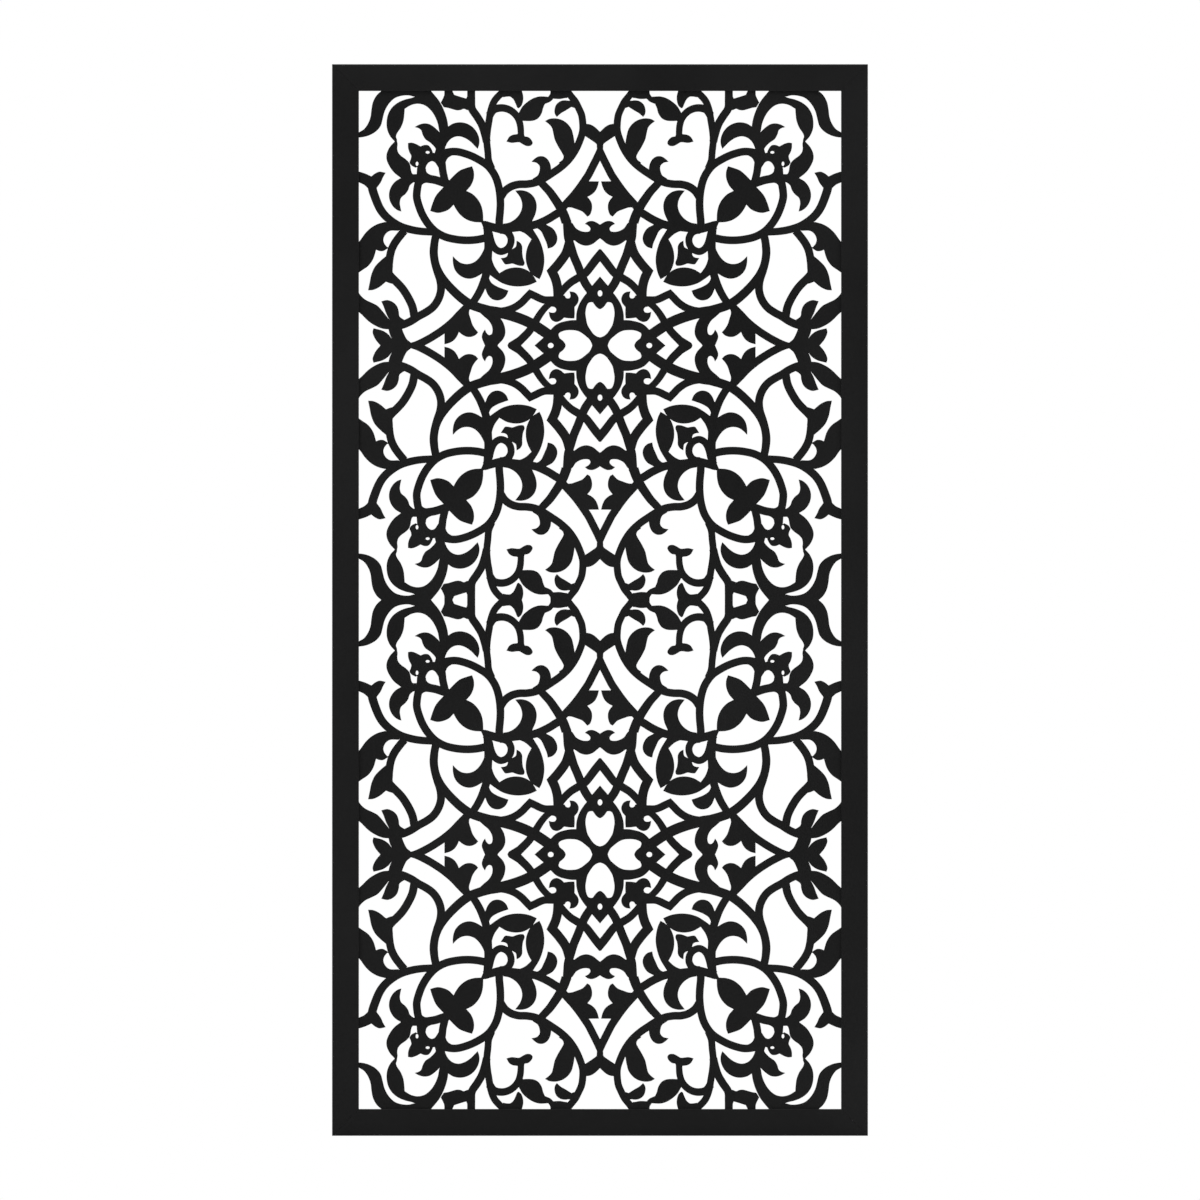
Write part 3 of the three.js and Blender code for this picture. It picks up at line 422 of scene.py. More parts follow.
# The cut sheet
sheet = {
    "thickness": 2,
    "front": frontY + 3.3,  # behind the frame's lip
    "overlap": 11.5,  # hidden under the lip
    "edgeRadius": 0.22,
    "edgeLimit": 0.4,  # keeps the broken edge short at a sharp point
    "creaseAngle": 50,
    "curveStep": 0.9,
    "tolerance": 0.04,  # how far a straight may leave its curve
    "leastStep": 0.02,
    "bendShare": 0.6,  # straight stretch at a sharp bend, in stem widths
    "mitreLimit": 0.5,
    "drawn": (270, 285),  # one quarter of a medallion, mirrored in every direction
    "medallions": 2,
}
turn = True  # marks a point where a drawn line turns sharply

# name: width at each end, and the points of the centre line
stems = {
    "flower ring": ((8.7, 8.7), [
        (113, 130), (112.8, 140), (111.7, 152), (111.6, 163), (113.3, 177), (117.3, 189.5), (125.5, 201),
        (138.5, 209.6), (150, 214.5), (161, 217.1), (171, 216.4), (182, 213),
    ]),
    "flower bowl": ((8.8, 8.8), [
        (201.5, 188), (203.7, 180.5), (205, 172.5), (205.2, 166), (203, 157), (198.6, 146), (192.3, 136),
        (184.3, 127.7), (174, 121.9), (162, 118.9), (150, 117.8), (138, 118.5), (126, 121),
    ]),
    "flower stalk": ((8.6, 8.6), [
        (179.5, 222), (178, 212), (177, 204), (176, 195), (173.5, 184),
    ]),
    "eye ring": ((9.6, 9.6), [
        (200.8, 184), (200.4, 194), (199.3, 202), (194.8, 208.6), (188.3, 211.2), (182, 208.8), (177, 202),
    ]),
    "flower foot": ((9.5, 9.2), [
        (168, 180), (176, 182.6), (184, 185.2), (192, 186.6), (202, 187.3), (214, 187.2),
    ]),
    "long stem": ((7.8, 8), [
        (121, 198), (124.6, 207), (125.6, 217), (126.8, 229), (126, 241), (124.2, 252), (122.3, 263),
        (118.9, 272.6), (115.5, 277.4), (111.8, 281.1), (104, 288.6),
    ]),
    "bud stalk": ((9.2, 7.2), [
        (124, 257.5), (119, 264), (111.5, 266), (104, 265), (97, 261), (91.8, 254.5), (89.2, 246),
        (88.5, 236),
    ]),
    "head vine": ((9.8, 9.8), [
        (199.4, 290), (192.4, 281.3), (183.9, 270.8), (178.6, 260.2), (175.4, 249), (174.8, 238),
        (177.2, 226), (180.5, 214),
    ]),
    "branch up": ((9, 9), [
        (126.8, 228), (128.4, 235), (132.2, 247), (137.7, 256.5), (143.5, 265.5), (144.2, 276),
        (144.2, 290),
    ]),
    "big circle": ((7.8, 9), [
        (41, 290), (36.5, 284.5), (32.3, 279), (27.5, 273), (23.9, 265.8), (20.7, 258.5), (19.3, 249),
        (19.4, 240), (22.4, 230), (28, 218), (35.5, 207.5), (44.8, 199), (54, 192.7), (63, 187),
        (72, 182.6), (82, 180.7), (91, 180.4), (99.5, 178), (106.5, 173), (111, 166.5),
    ]),
    "left sweep": ((8.4, 11.2), [
        (69, 186), (63, 179.3), (56.5, 172.4), (50.8, 164.4), (45.4, 156.2), (40.8, 147), (37.6, 138),
    ]),
    "lower sweep": ((9.6, 9.6), [
        (37, 140), (36.4, 130), (35.6, 121), (32.4, 110), (29.3, 100), (25, 90), (20.9, 79.5), (16.6, 70),
        (9.8, 60),
    ]),
    "step down": ((10.5, 10.5), [
        (34, 116), (38, 103.5), (45.7, 92.2), (53.7, 83, turn), (50.4, 76), (48, 67.5), (47.2, 60),
        (47, 53),
    ]),
    "step across": ((8.6, 8.6), [
        (46, 51.2), (54, 50.9), (62, 51), (67, 52.6), (72.5, 55.3), (78.2, 57.9, turn), (83, 53),
        (87.3, 48.5), (95, 43), (104, 39.5), (113, 38),
    ]),
    "chevron up": ((10, 8.2), [
        (-3, 105), (0, 101.5), (4.3, 96.5), (9.7, 89.4), (16.2, 81.3), (24.3, 75.9), (31.5, 71.6),
        (35.8, 68.1), (40.2, 63.6), (45.5, 57),
    ]),
    "chevron across": ((9.8, 7.2), [
        (97, -2), (88, 7), (81, 14), (76, 20.5), (71.5, 28), (66.2, 36.4), (60.3, 43.4), (52, 50),
    ]),
    "right sweep": ((8.8, 10.8), [
        (185.4, 114), (186, 103), (184.2, 91), (179.8, 80.5), (172.8, 70.5), (163.9, 60.9), (154.8, 52.7),
        (145.3, 46.2), (135, 42.3), (124, 39.2),
    ]),
    "sweep end": ((12, 12), [
        (126, 38.8), (113, 36.9), (104, 34.8), (95, 32.1), (84.6, 28.2), (75, 23.5), (65, 17.2), (52, 8),
    ]),
    "cross arm up": ((8.8, 8.8), [
        (44, 152), (36.5, 160.3), (29.5, 168), (22.5, 177), (17, 185), (13.1, 190.8), (8.5, 199.7),
        (3.7, 209.2), (-1.2, 219.7),
    ]),
    "cross arm across": ((8.8, 8.8), [
        (148.5, 43.5), (157, 35), (164.5, 27), (175, 18.2), (185, 11.4), (195, 5.6), (206, 0.4), (218, -3),
    ]),
    "inner sweep up": ((9.2, 9.2), [
        (44, 150), (50, 146.6), (56, 142.8), (63.3, 139), (71.5, 135.6), (82, 133.4), (93, 132.2),
        (104, 131), (112, 131),
    ]),
    "ring top": ((9.4, 9.4), [
        (100, 130), (110, 130), (120, 132.4), (130, 135.2),
    ]),
    "inner sweep across": ((8.4, 10), [
        (143, 47), (137.8, 55), (133.8, 62.5), (130, 72), (127.3, 80.5), (125.9, 92), (125.4, 104),
        (124.8, 112), (125.2, 122), (125.8, 134),
    ]),
    "small ring": ((8, 8), [
        (124, 126), (123, 121), (121.6, 116), (119.6, 111.3), (116.2, 107.3), (111, 105.2), (104.5, 107.6),
        (100.4, 113), (99.6, 119.5), (101, 123.5), (103.4, 126.6), (107.5, 128.6), (112, 129),
    ]),
    "lower bowl": ((9, 9), [
        (183, 126), (185.2, 116), (186.4, 105), (185.3, 95), (182.5, 84), (179.2, 74), (178, 66),
        (178.6, 59), (181.7, 50.5), (187.3, 42.8), (195, 37.2), (203, 32.9), (213, 26.6), (224, 22.5),
        (236, 22.5),
    ]),
    "outer vine": ((10, 8.2), [
        (256, 184), (255, 176), (252.6, 168), (246.8, 154), (241.3, 146.2), (233.2, 139.1), (223.4, 133.4),
        (211, 129.6), (200, 127.8), (186, 127),
    ]),
    "lens stem": ((9, 9), [
        (219, 128.5), (222.9, 124), (229.6, 115), (233.3, 107.5), (235.2, 100), (236, 94), (236.6, 88),
    ]),
    "lower vine": ((9.2, 9.2), [
        (240, 84), (232.5, 75.5), (225.4, 68.5), (220.6, 62.9), (214.2, 52.6), (210, 43.2), (208, 33),
        (207, 27),
    ]),
}

# name: outline
leaves = {
    "petal band": [
        (55.8, 17.1, turn), (50, 22.8), (45, 25.5), (40, 27), (33, 28.3), (26.7, 28.5, turn), (26.4, 36),
        (23.5, 46), (18, 55), (14.8, 58.9, turn), (7, 48.2, turn), (10.3, 48.5), (13, 47.5), (15, 43.7),
        (16.2, 36), (15.3, 29), (14, 23.4), (10.8, 17.7), (7, 12.7), (3, 10), (0, 9.2), (-1, 9.2, turn),
        (-1, -1, turn), (8.5, -1, turn), (9, 1), (11.5, 6.3), (16, 10.5), (21, 14.3), (26, 16.5),
        (32, 17.2), (37.4, 17), (42.2, 15.8), (45.5, 14), (46.3, 12), (45, 8, turn),
    ],
    "axis web": [
        (237, 19, turn), (235.6, 13), (233.3, 7.8, turn), (230, 2), (228, -2, turn), (206, -2, turn),
        (212.4, 3.8, turn), (216.2, 7), (218.3, 10.5), (220.3, 15), (221.5, 18.3, turn), (224, 24),
    ],
    "corner leaf": [
        (238, 290), (245, 285), (250.3, 280), (254.3, 272.5), (256, 264), (257, 256), (259.8, 248.5),
        (264.3, 242.3), (272, 237), (272, 232.7, turn), (265, 233.4), (258, 235.5), (250.5, 240),
        (245.6, 246), (243.3, 254), (241, 262.5), (236.5, 270.5), (230, 276.8), (222.5, 279.5), (214, 280),
        (209, 278.8, turn), (201, 280), (198, 290),
    ],
    "head leaf": [
        (200, 284), (209, 278), (218, 275.6), (226, 272.2), (232.7, 266.8), (237.2, 259.3), (239, 250),
        (238.2, 241.5), (234.8, 234), (230, 228.6, turn), (227.3, 229.5), (228.4, 234), (227, 238),
        (223, 244), (220, 252), (219, 260), (218.7, 265, turn), (211.5, 269.2), (204, 270.7), (196.5, 269),
        (189.7, 263.6), (184.7, 256.2), (181.5, 248), (180, 240), (178, 236, turn), (176, 255), (186, 278),
    ],
    "cheek leaf": [
        (228.5, 232), (230, 228.3, turn), (235.3, 222.5), (238.8, 215), (239, 208.5), (236.5, 202),
        (231, 194), (223, 187.6, turn), (212, 184), (206, 190), (208.5, 191.2), (210.6, 193.2),
        (211.7, 197), (212.3, 201), (213.8, 204.8), (217.7, 208.8), (222.7, 212.4), (226, 216.3),
        (227, 221), (226.7, 226),
    ],
    "drop leaf": [
        (223, 187.6, turn), (229.5, 183.5), (234.3, 177), (236.3, 169.5), (235.3, 162), (231.5, 155.3),
        (226.5, 151.3), (222.4, 150, turn), (223.4, 154.5), (224.1, 160), (222.7, 165.3), (218, 169.5),
        (214.8, 174), (213, 179), (209, 182.5), (204, 184, turn), (205, 188), (214, 191),
    ],
    "tulip bud": [
        (187, 210), (187.4, 217, turn), (189.3, 221), (192.3, 224.2), (196.5, 224.6), (201, 223, turn),
        (206, 225.7), (211, 227.2), (215, 226.7, turn), (214.9, 221.5), (213.5, 216.5), (211.4, 212.3),
        (212, 208.5), (213.3, 205), (211, 201.5), (206.3, 199, turn), (200, 203),
    ],
    "hook at head": [
        (177, 216), (182.8, 216.9, turn), (184.6, 221.3), (190, 227), (195.6, 231), (198.6, 236),
        (200.3, 241), (203, 243.2), (207.6, 244.6, turn), (203, 247.2), (197.5, 248.7), (191.5, 248.1),
        (186.2, 245), (181.5, 240.8), (177, 236, turn), (174, 230),
    ],
    "brow leaf": [
        (177, 238), (170, 245.3, turn), (164.5, 248.6), (157, 250), (149.5, 248.7), (142.5, 244.6),
        (137.5, 238.2), (135.1, 231), (135.3, 225), (137, 220.2, turn), (140, 223.2), (145, 228.2),
        (152, 232.6), (159, 234.2), (165.5, 232.3), (170.3, 227.8), (174, 220.4, turn), (180, 224),
    ],
    "cross piece": [
        (173.5, 290), (174.6, 280), (178.3, 272, turn), (175, 266.8, turn), (170, 266), (165, 264.5),
        (160, 263.3), (156, 263.7), (152.5, 265), (148, 263.5), (141, 266), (140.5, 276), (141, 290, turn),
        (145, 290, turn), (147.8, 281.5), (149.8, 276.6, turn), (156, 278.4), (163.3, 280.8, turn),
        (167.4, 290, turn),
    ],
    "top leaf": [
        (101, 290, turn), (110, 281, turn), (108.6, 277.9, turn), (106, 278.4), (103.5, 278.7),
        (100.5, 278.5), (97, 275.6), (94.4, 270.5), (92.5, 266.2), (91, 265.6, turn), (88.1, 268.3),
        (86.2, 273.5), (86, 279.5), (89, 290, turn),
    ],
    "round leaf": [
        (91, 260.5, turn), (86.8, 267.7), (81, 273.1), (75, 276.8), (68, 278.9), (58, 278.6, turn),
        (55.8, 282), (54.5, 290), (34, 290), (33, 280), (37.5, 277, turn), (38.5, 277.1), (45, 276),
        (52.3, 276.3, turn), (55.3, 273.3), (61.7, 270.4, turn), (63.6, 266), (65.3, 260), (69.3, 254.3),
        (74.5, 251.8), (81, 251.3), (88, 251.6, turn),
    ],
    "bulb leaf": [
        (28, 274), (36, 274.2, turn), (38.5, 274.6), (44, 273.8), (49, 269.8), (51, 263.5), (50.4, 259),
        (48.3, 255.9, turn), (44, 259.8), (38.5, 263), (32, 267.1, turn), (28, 266), (25, 268),
    ],
    "tongue leaf": [
        (26, 222), (28.4, 226.4, turn), (29.8, 235), (32, 242.5), (37, 249), (43, 252.8), (50, 254.4),
        (57, 253.7), (61.6, 251.2, turn), (57, 247.7), (54, 244), (52.6, 239), (50.8, 231), (47, 223),
        (42.5, 215.5), (40.8, 211.5), (42, 208), (46, 204.5), (38, 203), (30, 212),
    ],
    "lobe bud": [
        (92.8, 236.7, turn), (98, 235.9), (101.8, 233.5), (104.8, 228.3, turn), (99, 226.9), (90.5, 227.5),
        (86.5, 225.3), (82, 223.3), (77.5, 223.8), (75.4, 226.6), (77, 230.5), (80.3, 233.4),
        (84.3, 234.2, turn), (86, 238), (91, 238),
    ],
    "hook at circle": [
        (54.7, 197.8, turn), (55.6, 203), (58.7, 208.7), (63.5, 211.8), (69, 211.7), (73.5, 209),
        (76.8, 205.8, turn), (71, 204.4), (67.7, 200.8), (67.6, 196.5), (69.6, 190.8), (75.7, 185.8),
        (70, 181), (60, 186),
    ],
    "hook at ring": [
        (109.5, 136.2, turn), (101, 138), (93.5, 143), (88.7, 150), (87.2, 157.5), (89.3, 165.5),
        (95, 173.4, turn), (88, 173.9), (80, 171.7), (73.7, 165.8), (71, 158), (71.8, 149),
        (76.3, 138.3, turn), (85, 132), (98, 131),
    ],
    "fin leaf": [
        (78, 136), (75.5, 130.6, turn), (70.5, 131), (66.2, 128), (62.7, 121), (59.7, 114),
        (58.5, 108.5, turn), (53, 110.3), (49.2, 114.3), (47.7, 119.5), (49, 125.5), (53, 131.3),
        (59.7, 135.1, turn), (66, 139),
    ],
    "standing leaf": [
        (90, 134), (98.3, 128.5, turn), (91, 128.2), (83.5, 125), (76.8, 119, turn), (80.5, 112),
        (82.8, 104), (83, 95), (81.2, 88), (77.7, 81.3), (73, 77.2), (67.8, 74.2, turn), (65, 80),
        (63, 88), (62.3, 97), (63.8, 107), (67.7, 118), (75.5, 130.9, turn), (80, 136),
    ],
    "lying leaf": [
        (121.7, 104, turn), (121, 97), (118, 88.5), (112.7, 81, turn), (105, 85.4), (96, 87.4), (87, 86.6),
        (79.5, 83.1), (74.5, 78), (70.7, 71.3, turn), (79, 67.8), (89, 66.1), (99, 66.6), (109, 69.5),
        (117, 74.3), (124.3, 79.7, turn), (128, 86), (127, 100),
    ],
    "lower hook": [
        (124.3, 79.7, turn), (124, 75), (121.5, 70.3), (115.5, 66.3), (108.5, 63.5), (102.5, 61.5, turn),
        (105, 55.7), (109.5, 51.8), (115, 50.4), (121, 52), (125.5, 56.7), (128.3, 63.2, turn), (132, 70),
        (129, 78),
    ],
    "inner bud": [
        (103, 107), (97.5, 108.4, turn), (94.3, 110.7), (93.4, 117.5, turn), (89.5, 115.2), (87.2, 111.3),
        (87, 104.5), (86.2, 98), (84.4, 92.5), (85.5, 89.6), (89.5, 89.2), (94, 90.3), (98, 91.7),
        (102.5, 91), (106.3, 91), (108.7, 94), (111.2, 97.9, turn), (107, 98.4), (104.2, 100.1),
        (103.1, 103.1, turn), (106, 106),
    ],
    "hanging crescent": [
        (128, 116), (129.4, 114), (129.4, 110), (131.3, 105), (135.5, 98.3), (141, 93.4), (148, 91.3),
        (155, 92.3), (160.5, 95.8), (164.8, 100.2, turn), (164.8, 93.5), (162.8, 85.3), (158.3, 79.4),
        (152, 75.7), (145, 74.8), (138.5, 76.7), (132.5, 80.2, turn), (126, 84),
    ],
    "flower": [
        (172, 187), (168.6, 185.2, turn), (163, 191), (157, 196), (150, 198.8), (143.3, 200.8, turn),
        (141.3, 195), (141.3, 187.5), (144.3, 179.5), (149.6, 173.2, turn), (142.5, 169.5), (136.5, 163.3),
        (132.7, 156), (131, 148), (130.7, 139.8, turn), (124, 138), (128, 128), (133.2, 137.8, turn),
        (141, 138.3), (149, 140.8), (156.5, 146.3), (161.3, 152.6), (164, 157.6, turn), (169, 152.5),
        (175, 149.7), (182, 148.5), (190.2, 150.6, turn), (187.8, 158.5), (183.7, 167.9),
        (175.3, 177.4, turn), (172, 183),
    ],
    "left hook up": [
        (38, 114), (28.8, 117.7, turn), (22, 113.2), (15, 111.7), (8.5, 113.5), (3, 117.7), (-2, 122.5),
        (-2, 133), (3, 137.3), (8.5, 139.5), (13.5, 138.8), (17, 136.2, turn), (13.2, 134.2), (10.8, 131),
        (11.8, 128.2), (15.5, 127.3), (21, 128.1), (26.8, 131.3), (31.5, 137.5), (38, 140),
    ],
    "left hook across": [
        (118, 37), (111.3, 30.6, turn), (108, 25), (106.1, 18), (106.2, 12.5), (108.7, 6.8), (114.5, 0.3),
        (115, -2), (127, -2), (130.6, 4), (132.4, 9.5), (131.4, 14), (128.8, 18, turn), (127, 14),
        (124.3, 11.8), (121.6, 12.7), (120.4, 16.5), (121.2, 22), (124.8, 28), (130.5, 33), (135, 38),
    ],
    "trefoil up": [
        (40, 157), (37.5, 154.6, turn), (32, 154.4), (25.5, 152.2), (19.5, 149.7), (14.3, 144.3, turn),
        (11.5, 146), (9.2, 151.5), (9, 158), (10.8, 162.5), (14, 166.5, turn), (9.3, 169), (5.3, 172.8),
        (2.7, 178), (1.2, 183.8, turn), (12.3, 183.9, turn), (17, 185), (22.5, 177), (29.5, 168),
        (36.5, 160.3),
    ],
    "trefoil across": [
        (150.5, 42), (146, 40.4, turn), (146.6, 36), (144.9, 30), (142.8, 23.5), (140, 18.9),
        (136.4, 14.8, turn), (139.3, 11.7), (144, 9.7), (149.5, 9.8), (154, 11.9), (158, 15.1, turn),
        (159.7, 11), (163, 6.4), (168, 3.1), (174.2, 1.3, turn), (174.2, 13.3, turn), (174, 19),
        (164.5, 27), (157, 35),
    ],
    "fork": [
        (22, 240), (15.2, 248.3, turn), (11, 247.6), (6.5, 245.3), (0, 239.3), (-3, 236), (-3, 214),
        (2, 214), (3.6, 222), (3.9, 225.3), (9, 229.4), (16.4, 234.3, turn),
    ],
    "diamond up": [
        (-1, 40.7, turn), (1, 40.9), (4.3, 43.3), (8.3, 48.7), (14, 57), (9.2, 66.6, turn),
        (-1, 78.5, turn),
    ],
    "diamond across": [
        (38.3, -1, turn), (38.6, 1), (40.5, 4.3), (45.8, 8.7), (54, 14), (62.8, 9.3, turn),
        (74.5, -1, turn),
    ],
    "trefoil centre": [
        (50, 52), (39.9, 56), (38.3, 53.7), (36, 52.7), (33.8, 53.5), (33.1, 55.8), (34.2, 60.6, turn),
        (29, 59.8), (25.5, 57), (23.8, 52.3), (24.8, 47.7), (28.5, 43, turn), (28.3, 36),
        (28.7, 30.3, turn), (34, 30.4), (40.2, 31.2, turn), (44, 27.9), (48.5, 26.3), (53, 27.6),
        (56.1, 31.6), (57.4, 37.7, turn), (53.5, 36.7), (50.3, 37.4), (49, 40), (50, 42.3), (52.2, 43.3),
        (58, 44),
    ],
    "frame bud": [
        (272, 194.4), (264, 193), (256, 189.4, turn), (252, 192.6), (247, 194.7), (240, 193.4, turn),
        (243, 188.3), (245.3, 183), (250.2, 176.2, turn), (255, 172), (259, 175.2, turn), (264, 179.8),
        (272, 184.5),
    ],
    "fan leaf": [
        (222, 132), (240.6, 138.4, turn), (249, 136.1), (256.3, 132), (262.7, 126), (267.7, 119),
        (273, 111.5), (273, 81), (265.5, 84.8), (259, 89.6), (253.9, 97), (250.7, 107.2, turn),
        (247.5, 105.9), (243, 105.7), (238.1, 108.4, turn), (236, 110.5), (238.2, 110.1, turn),
        (241.5, 114.3), (242.5, 119), (240.3, 124.5), (235.5, 128.2), (225.6, 128.5, turn),
    ],
    "side leaf": [
        (236, 102), (240.2, 99.7, turn), (246, 94.8), (252.3, 87.9), (256.1, 79.3), (257.9, 70.5),
        (259.7, 61.8, turn), (254, 62.2), (247, 65.4), (239.8, 71.3, turn), (232, 76), (232.2, 84, turn),
        (232, 92),
    ],
    "small thumb": [
        (212, 24), (224.3, 32.5), (225.3, 38), (227.3, 44), (231.5, 48.4), (238, 50.9),
        (244.9, 49.5, turn), (242.1, 43), (239.8, 36.5), (236.2, 29.2, turn), (232, 22),
    ],
    "long frame leaf": [
        (273, 66), (269, 57.4), (263, 51.6), (255, 47.7), (249, 44.4), (242.5, 37.3), (236.2, 29.2, turn),
        (228, 26), (224, 20), (236, 18, turn), (243.5, 18.8), (251, 21.8), (259, 26.9), (266, 33.8),
        (273, 41.5),
    ],
    "pointed leaf": [
        (224, 8), (233.3, 7.8, turn), (236.8, 12.3), (243, 16.5), (253.6, 19.3, turn), (254.7, 15),
        (252.3, 8.2), (248.5, 2.9), (243, -2), (228, -2),
    ],
    "chevron tip": [
        (103.7, -3, turn), (103.6, 0), (102.3, 2.9), (99.5, 4.8), (95.5, 7.2), (91, 10, turn),
        (92, 0, turn), (94, -3, turn),
    ],
    "eye corner": [
        (203, 199, turn), (195.3, 198.5), (194.5, 195), (192.3, 192.5), (189, 191), (185, 189.5, turn),
        (203, 187, turn),
    ],
    "foot corner": [
        (203, 175.5, turn), (200.8, 176.8), (199.9, 178.9), (198.3, 180.7), (196, 181.9), (192, 182.4),
        (189, 184, turn), (203, 186, turn),
    ],
    "bud corner fillet": [
        (173.5, 204, turn), (172.3, 206.2), (171.4, 208.4), (169.6, 210.5), (167.4, 211.9),
        (164, 213.8, turn), (174.5, 214, turn),
    ],
    "side leaf web": [
        (241, 72, turn), (238.5, 70.9), (236, 69.9), (233.5, 69.2), (231, 68.6), (228, 66.8, turn),
        (230, 74, turn), (237, 76, turn),
    ],
}

# name: centre and radii
piercings = {
    "top diamond": ((0, 58.4), (2.6, 3.4)),
    "side diamond": ((55.2, 0), (3.2, 2.9)),
    "bud upper": ((193, 216.3), (2.2, 1.5)),
    "bud lower": ((204.9, 203.5), (1.5, 2.4)),
}


def quarterMetal():
    # every stem and leaf joined into one flat shape, with the piercings taken out
    step = sheet["curveStep"]
    window = rectangleOutline(0, sheet["drawn"][0], 0, sheet["drawn"][1])
    outlines = [stemOutline(width, path, step) for width, path in stems.values()]
    outlines += [leafOutline(points, step) for points in leaves.values()]
    holes = [ellipseOutline(*hole) for hole in piercings.values()]
    points, triangles = triangulate([window, *outlines, *holes])
    middle = centres(points, triangles)
    solid = np.zeros(len(triangles), bool)
    for outline in outlines:
        low, top = outline.min(0), outline.max(0)
        near = np.flatnonzero(((middle > low) & (middle < top)).all(1))
        solid[near] |= winding(middle[near], [outline]) != 0
    solid &= winding(middle, holes) == 0
    solid &= winding(middle, [window]) != 0
    loops = [thinned(loop, sheet["tolerance"]) for loop in rimLoops(points, triangles[solid])]
    return fillLoops([loop for loop in loops if len(loop) > 2])


def weld(points, triangles):
    # joins the points that lie on each other
    # a grid of a thousandth of a millimetre, coarser than the rounding inside triangulate
    decimals = 3
    kept, where = np.unique(np.round(points, decimals), axis=0, return_inverse=True)
    triangles = where.reshape(-1)[triangles]
    whole = (triangles[:, 0] != triangles[:, 1]) & (triangles[:, 1] != triangles[:, 2])
    whole &= triangles[:, 0] != triangles[:, 2]
    return kept, triangles[whole]


def mirroredQuarters():
    # the quarter mirrored about the middle of each medallion and stretched to the opening
    points, triangles = quarterMetal()
    halfWide = panel["width"] / 2 - panel["border"]
    quarterHigh = (panel["height"] - 2 * panel["border"]) / (2 * sheet["medallions"])
    scale = np.array([halfWide, quarterHigh]) / sheet["drawn"]
    allPoints, allTriangles = [], []
    for row in range(sheet["medallions"]):
        centre = panel["border"] + quarterHigh * (2 * row + 1)
        for sideways in (-1, 1):
            for upwards in (-1, 1):
                allTriangles.append((triangles if sideways == upwards else triangles[:, ::-1])
                                    + len(points) * len(allPoints))
                allPoints.append(points * scale * (sideways, upwards) + (0, centre))
    return weld(np.vstack(allPoints), np.vstack(allTriangles))


def flatSheet():
    # the pattern and the plain margin under the lip, which joins every point on the opening's edge
    points, triangles = mirroredQuarters()
    halfWide = panel["width"] / 2 - panel["border"]
    low, high = panel["border"], panel["height"] - panel["border"]
    onSide = np.abs(np.abs(points[:, 0]) - halfWide) < touching
    onEnd = np.minimum(np.abs(points[:, 1] - low), np.abs(points[:, 1] - high)) < touching
    opening = rectangleOutline(-halfWide, halfWide, low, high)
    edge = np.unique(np.vstack([points[onSide | onEnd], opening]), axis=0)
    middle = np.array([0, panel["height"] / 2])
    span = (edge - middle) / (halfWide, high - middle[1])
    edge = edge[np.argsort(np.arctan2(span[:, 1], span[:, 0]))]
    over = sheet["overlap"]
    blank = rectangleOutline(-halfWide - over, halfWide + over, low - over, high + over)
    marginPoints, margin = triangulate([blank, edge])
    margin = margin[winding(centres(marginPoints, margin), [opening]) == 0]
    return weld(np.vstack([points, marginPoints]), np.vstack([triangles, margin + len(points)]))


def drawnIntoMetal(points, rim, amount):
    # the points on the rim moved into the metal, for a broken edge or a groove
    ways = points[rim[:, 1]] - points[rim[:, 0]]
    ways /= np.maximum(np.linalg.norm(ways, axis=1), 1e-9)[:, None]
    inner = np.stack([-ways[:, 1], ways[:, 0]], 1)
    total = np.zeros_like(points)
    np.add.at(total, rim[:, 0], inner)
    np.add.at(total, rim[:, 1], inner)
    size = np.maximum((total**2).sum(1), sheet["edgeLimit"])[:, None]
    return points + 2 * amount * total / size


def cutSheet():
    # front and back faces, joined round every cut by a broken edge, a wall and a broken edge
    points, triangles = flatSheet()
    rim = rimEdges(triangles)
    radius = sheet["edgeRadius"]
    inset = drawnIntoMetal(points, rim, radius)
    y0, y1 = sheet["front"], sheet["front"] + sheet["thickness"]
    layers = [(inset, y0), (points, y0 + radius), (points, y1 - radius), (inset, y1)]
    count, last = len(points), len(layers) - 1
    verts = np.vstack([np.stack([p[:, 0], np.full(count, y), p[:, 1]], 1) for p, y in layers])
    faces = [*triangles, *(triangles[:, ::-1] + last * count)]
    a, b = rim[:, 0], rim[:, 1]
    for level in range(last):
        up, down = level * count, (level + 1) * count
        faces += list(np.stack([b + up, a + up, a + down, b + down], 1))
    # between the two faces only the points on the rim are in use
    used = np.ones(len(verts), bool)
    used[count:last * count] = False
    used[np.concatenate([a + level * count for level in range(1, last)])] = True
    place = np.cumsum(used) - 1
    piece = newPiece("cut_scroll_sheet", verts[used] * mm, [place[f] for f in faces])
    crease(piece, sheet["creaseAngle"])
    return piece


finishPiece(cutSheet(), blackCoat, "coated_steel", "laser_cut_sheet")


# Frame members, beads and screws, each laid along the bottom edge and turned into place
member = {
    "tubeWidth": 18,
    "tubeWall": 2,
    "lip": 3,
    "outerRadius": 1.4,
    "lipRadius": 0.6,
    "rootRadius": 0.8,
    "chamberRadius": 0.8,
    "mitreGroove": 0.14,  # fine line that shows where two members meet
    "mitreGap": 0.004,
}
bead = {"width": 8, "depth": 10, "front": frontY + 5.6, "gap": 0.3, "radius": 0.6}
# length, quarter turns and the middle of the outer edge
sides = {
    "bottom": (panel["width"], 0, (0, 0)),
    "right": (panel["height"], 1, (panel["width"] / 2, panel["height"] / 2)),
    "top": (panel["width"], 2, (0, panel["height"])),
    "left": (panel["height"], 3, (-panel["width"] / 2, panel["height"] / 2)),
}


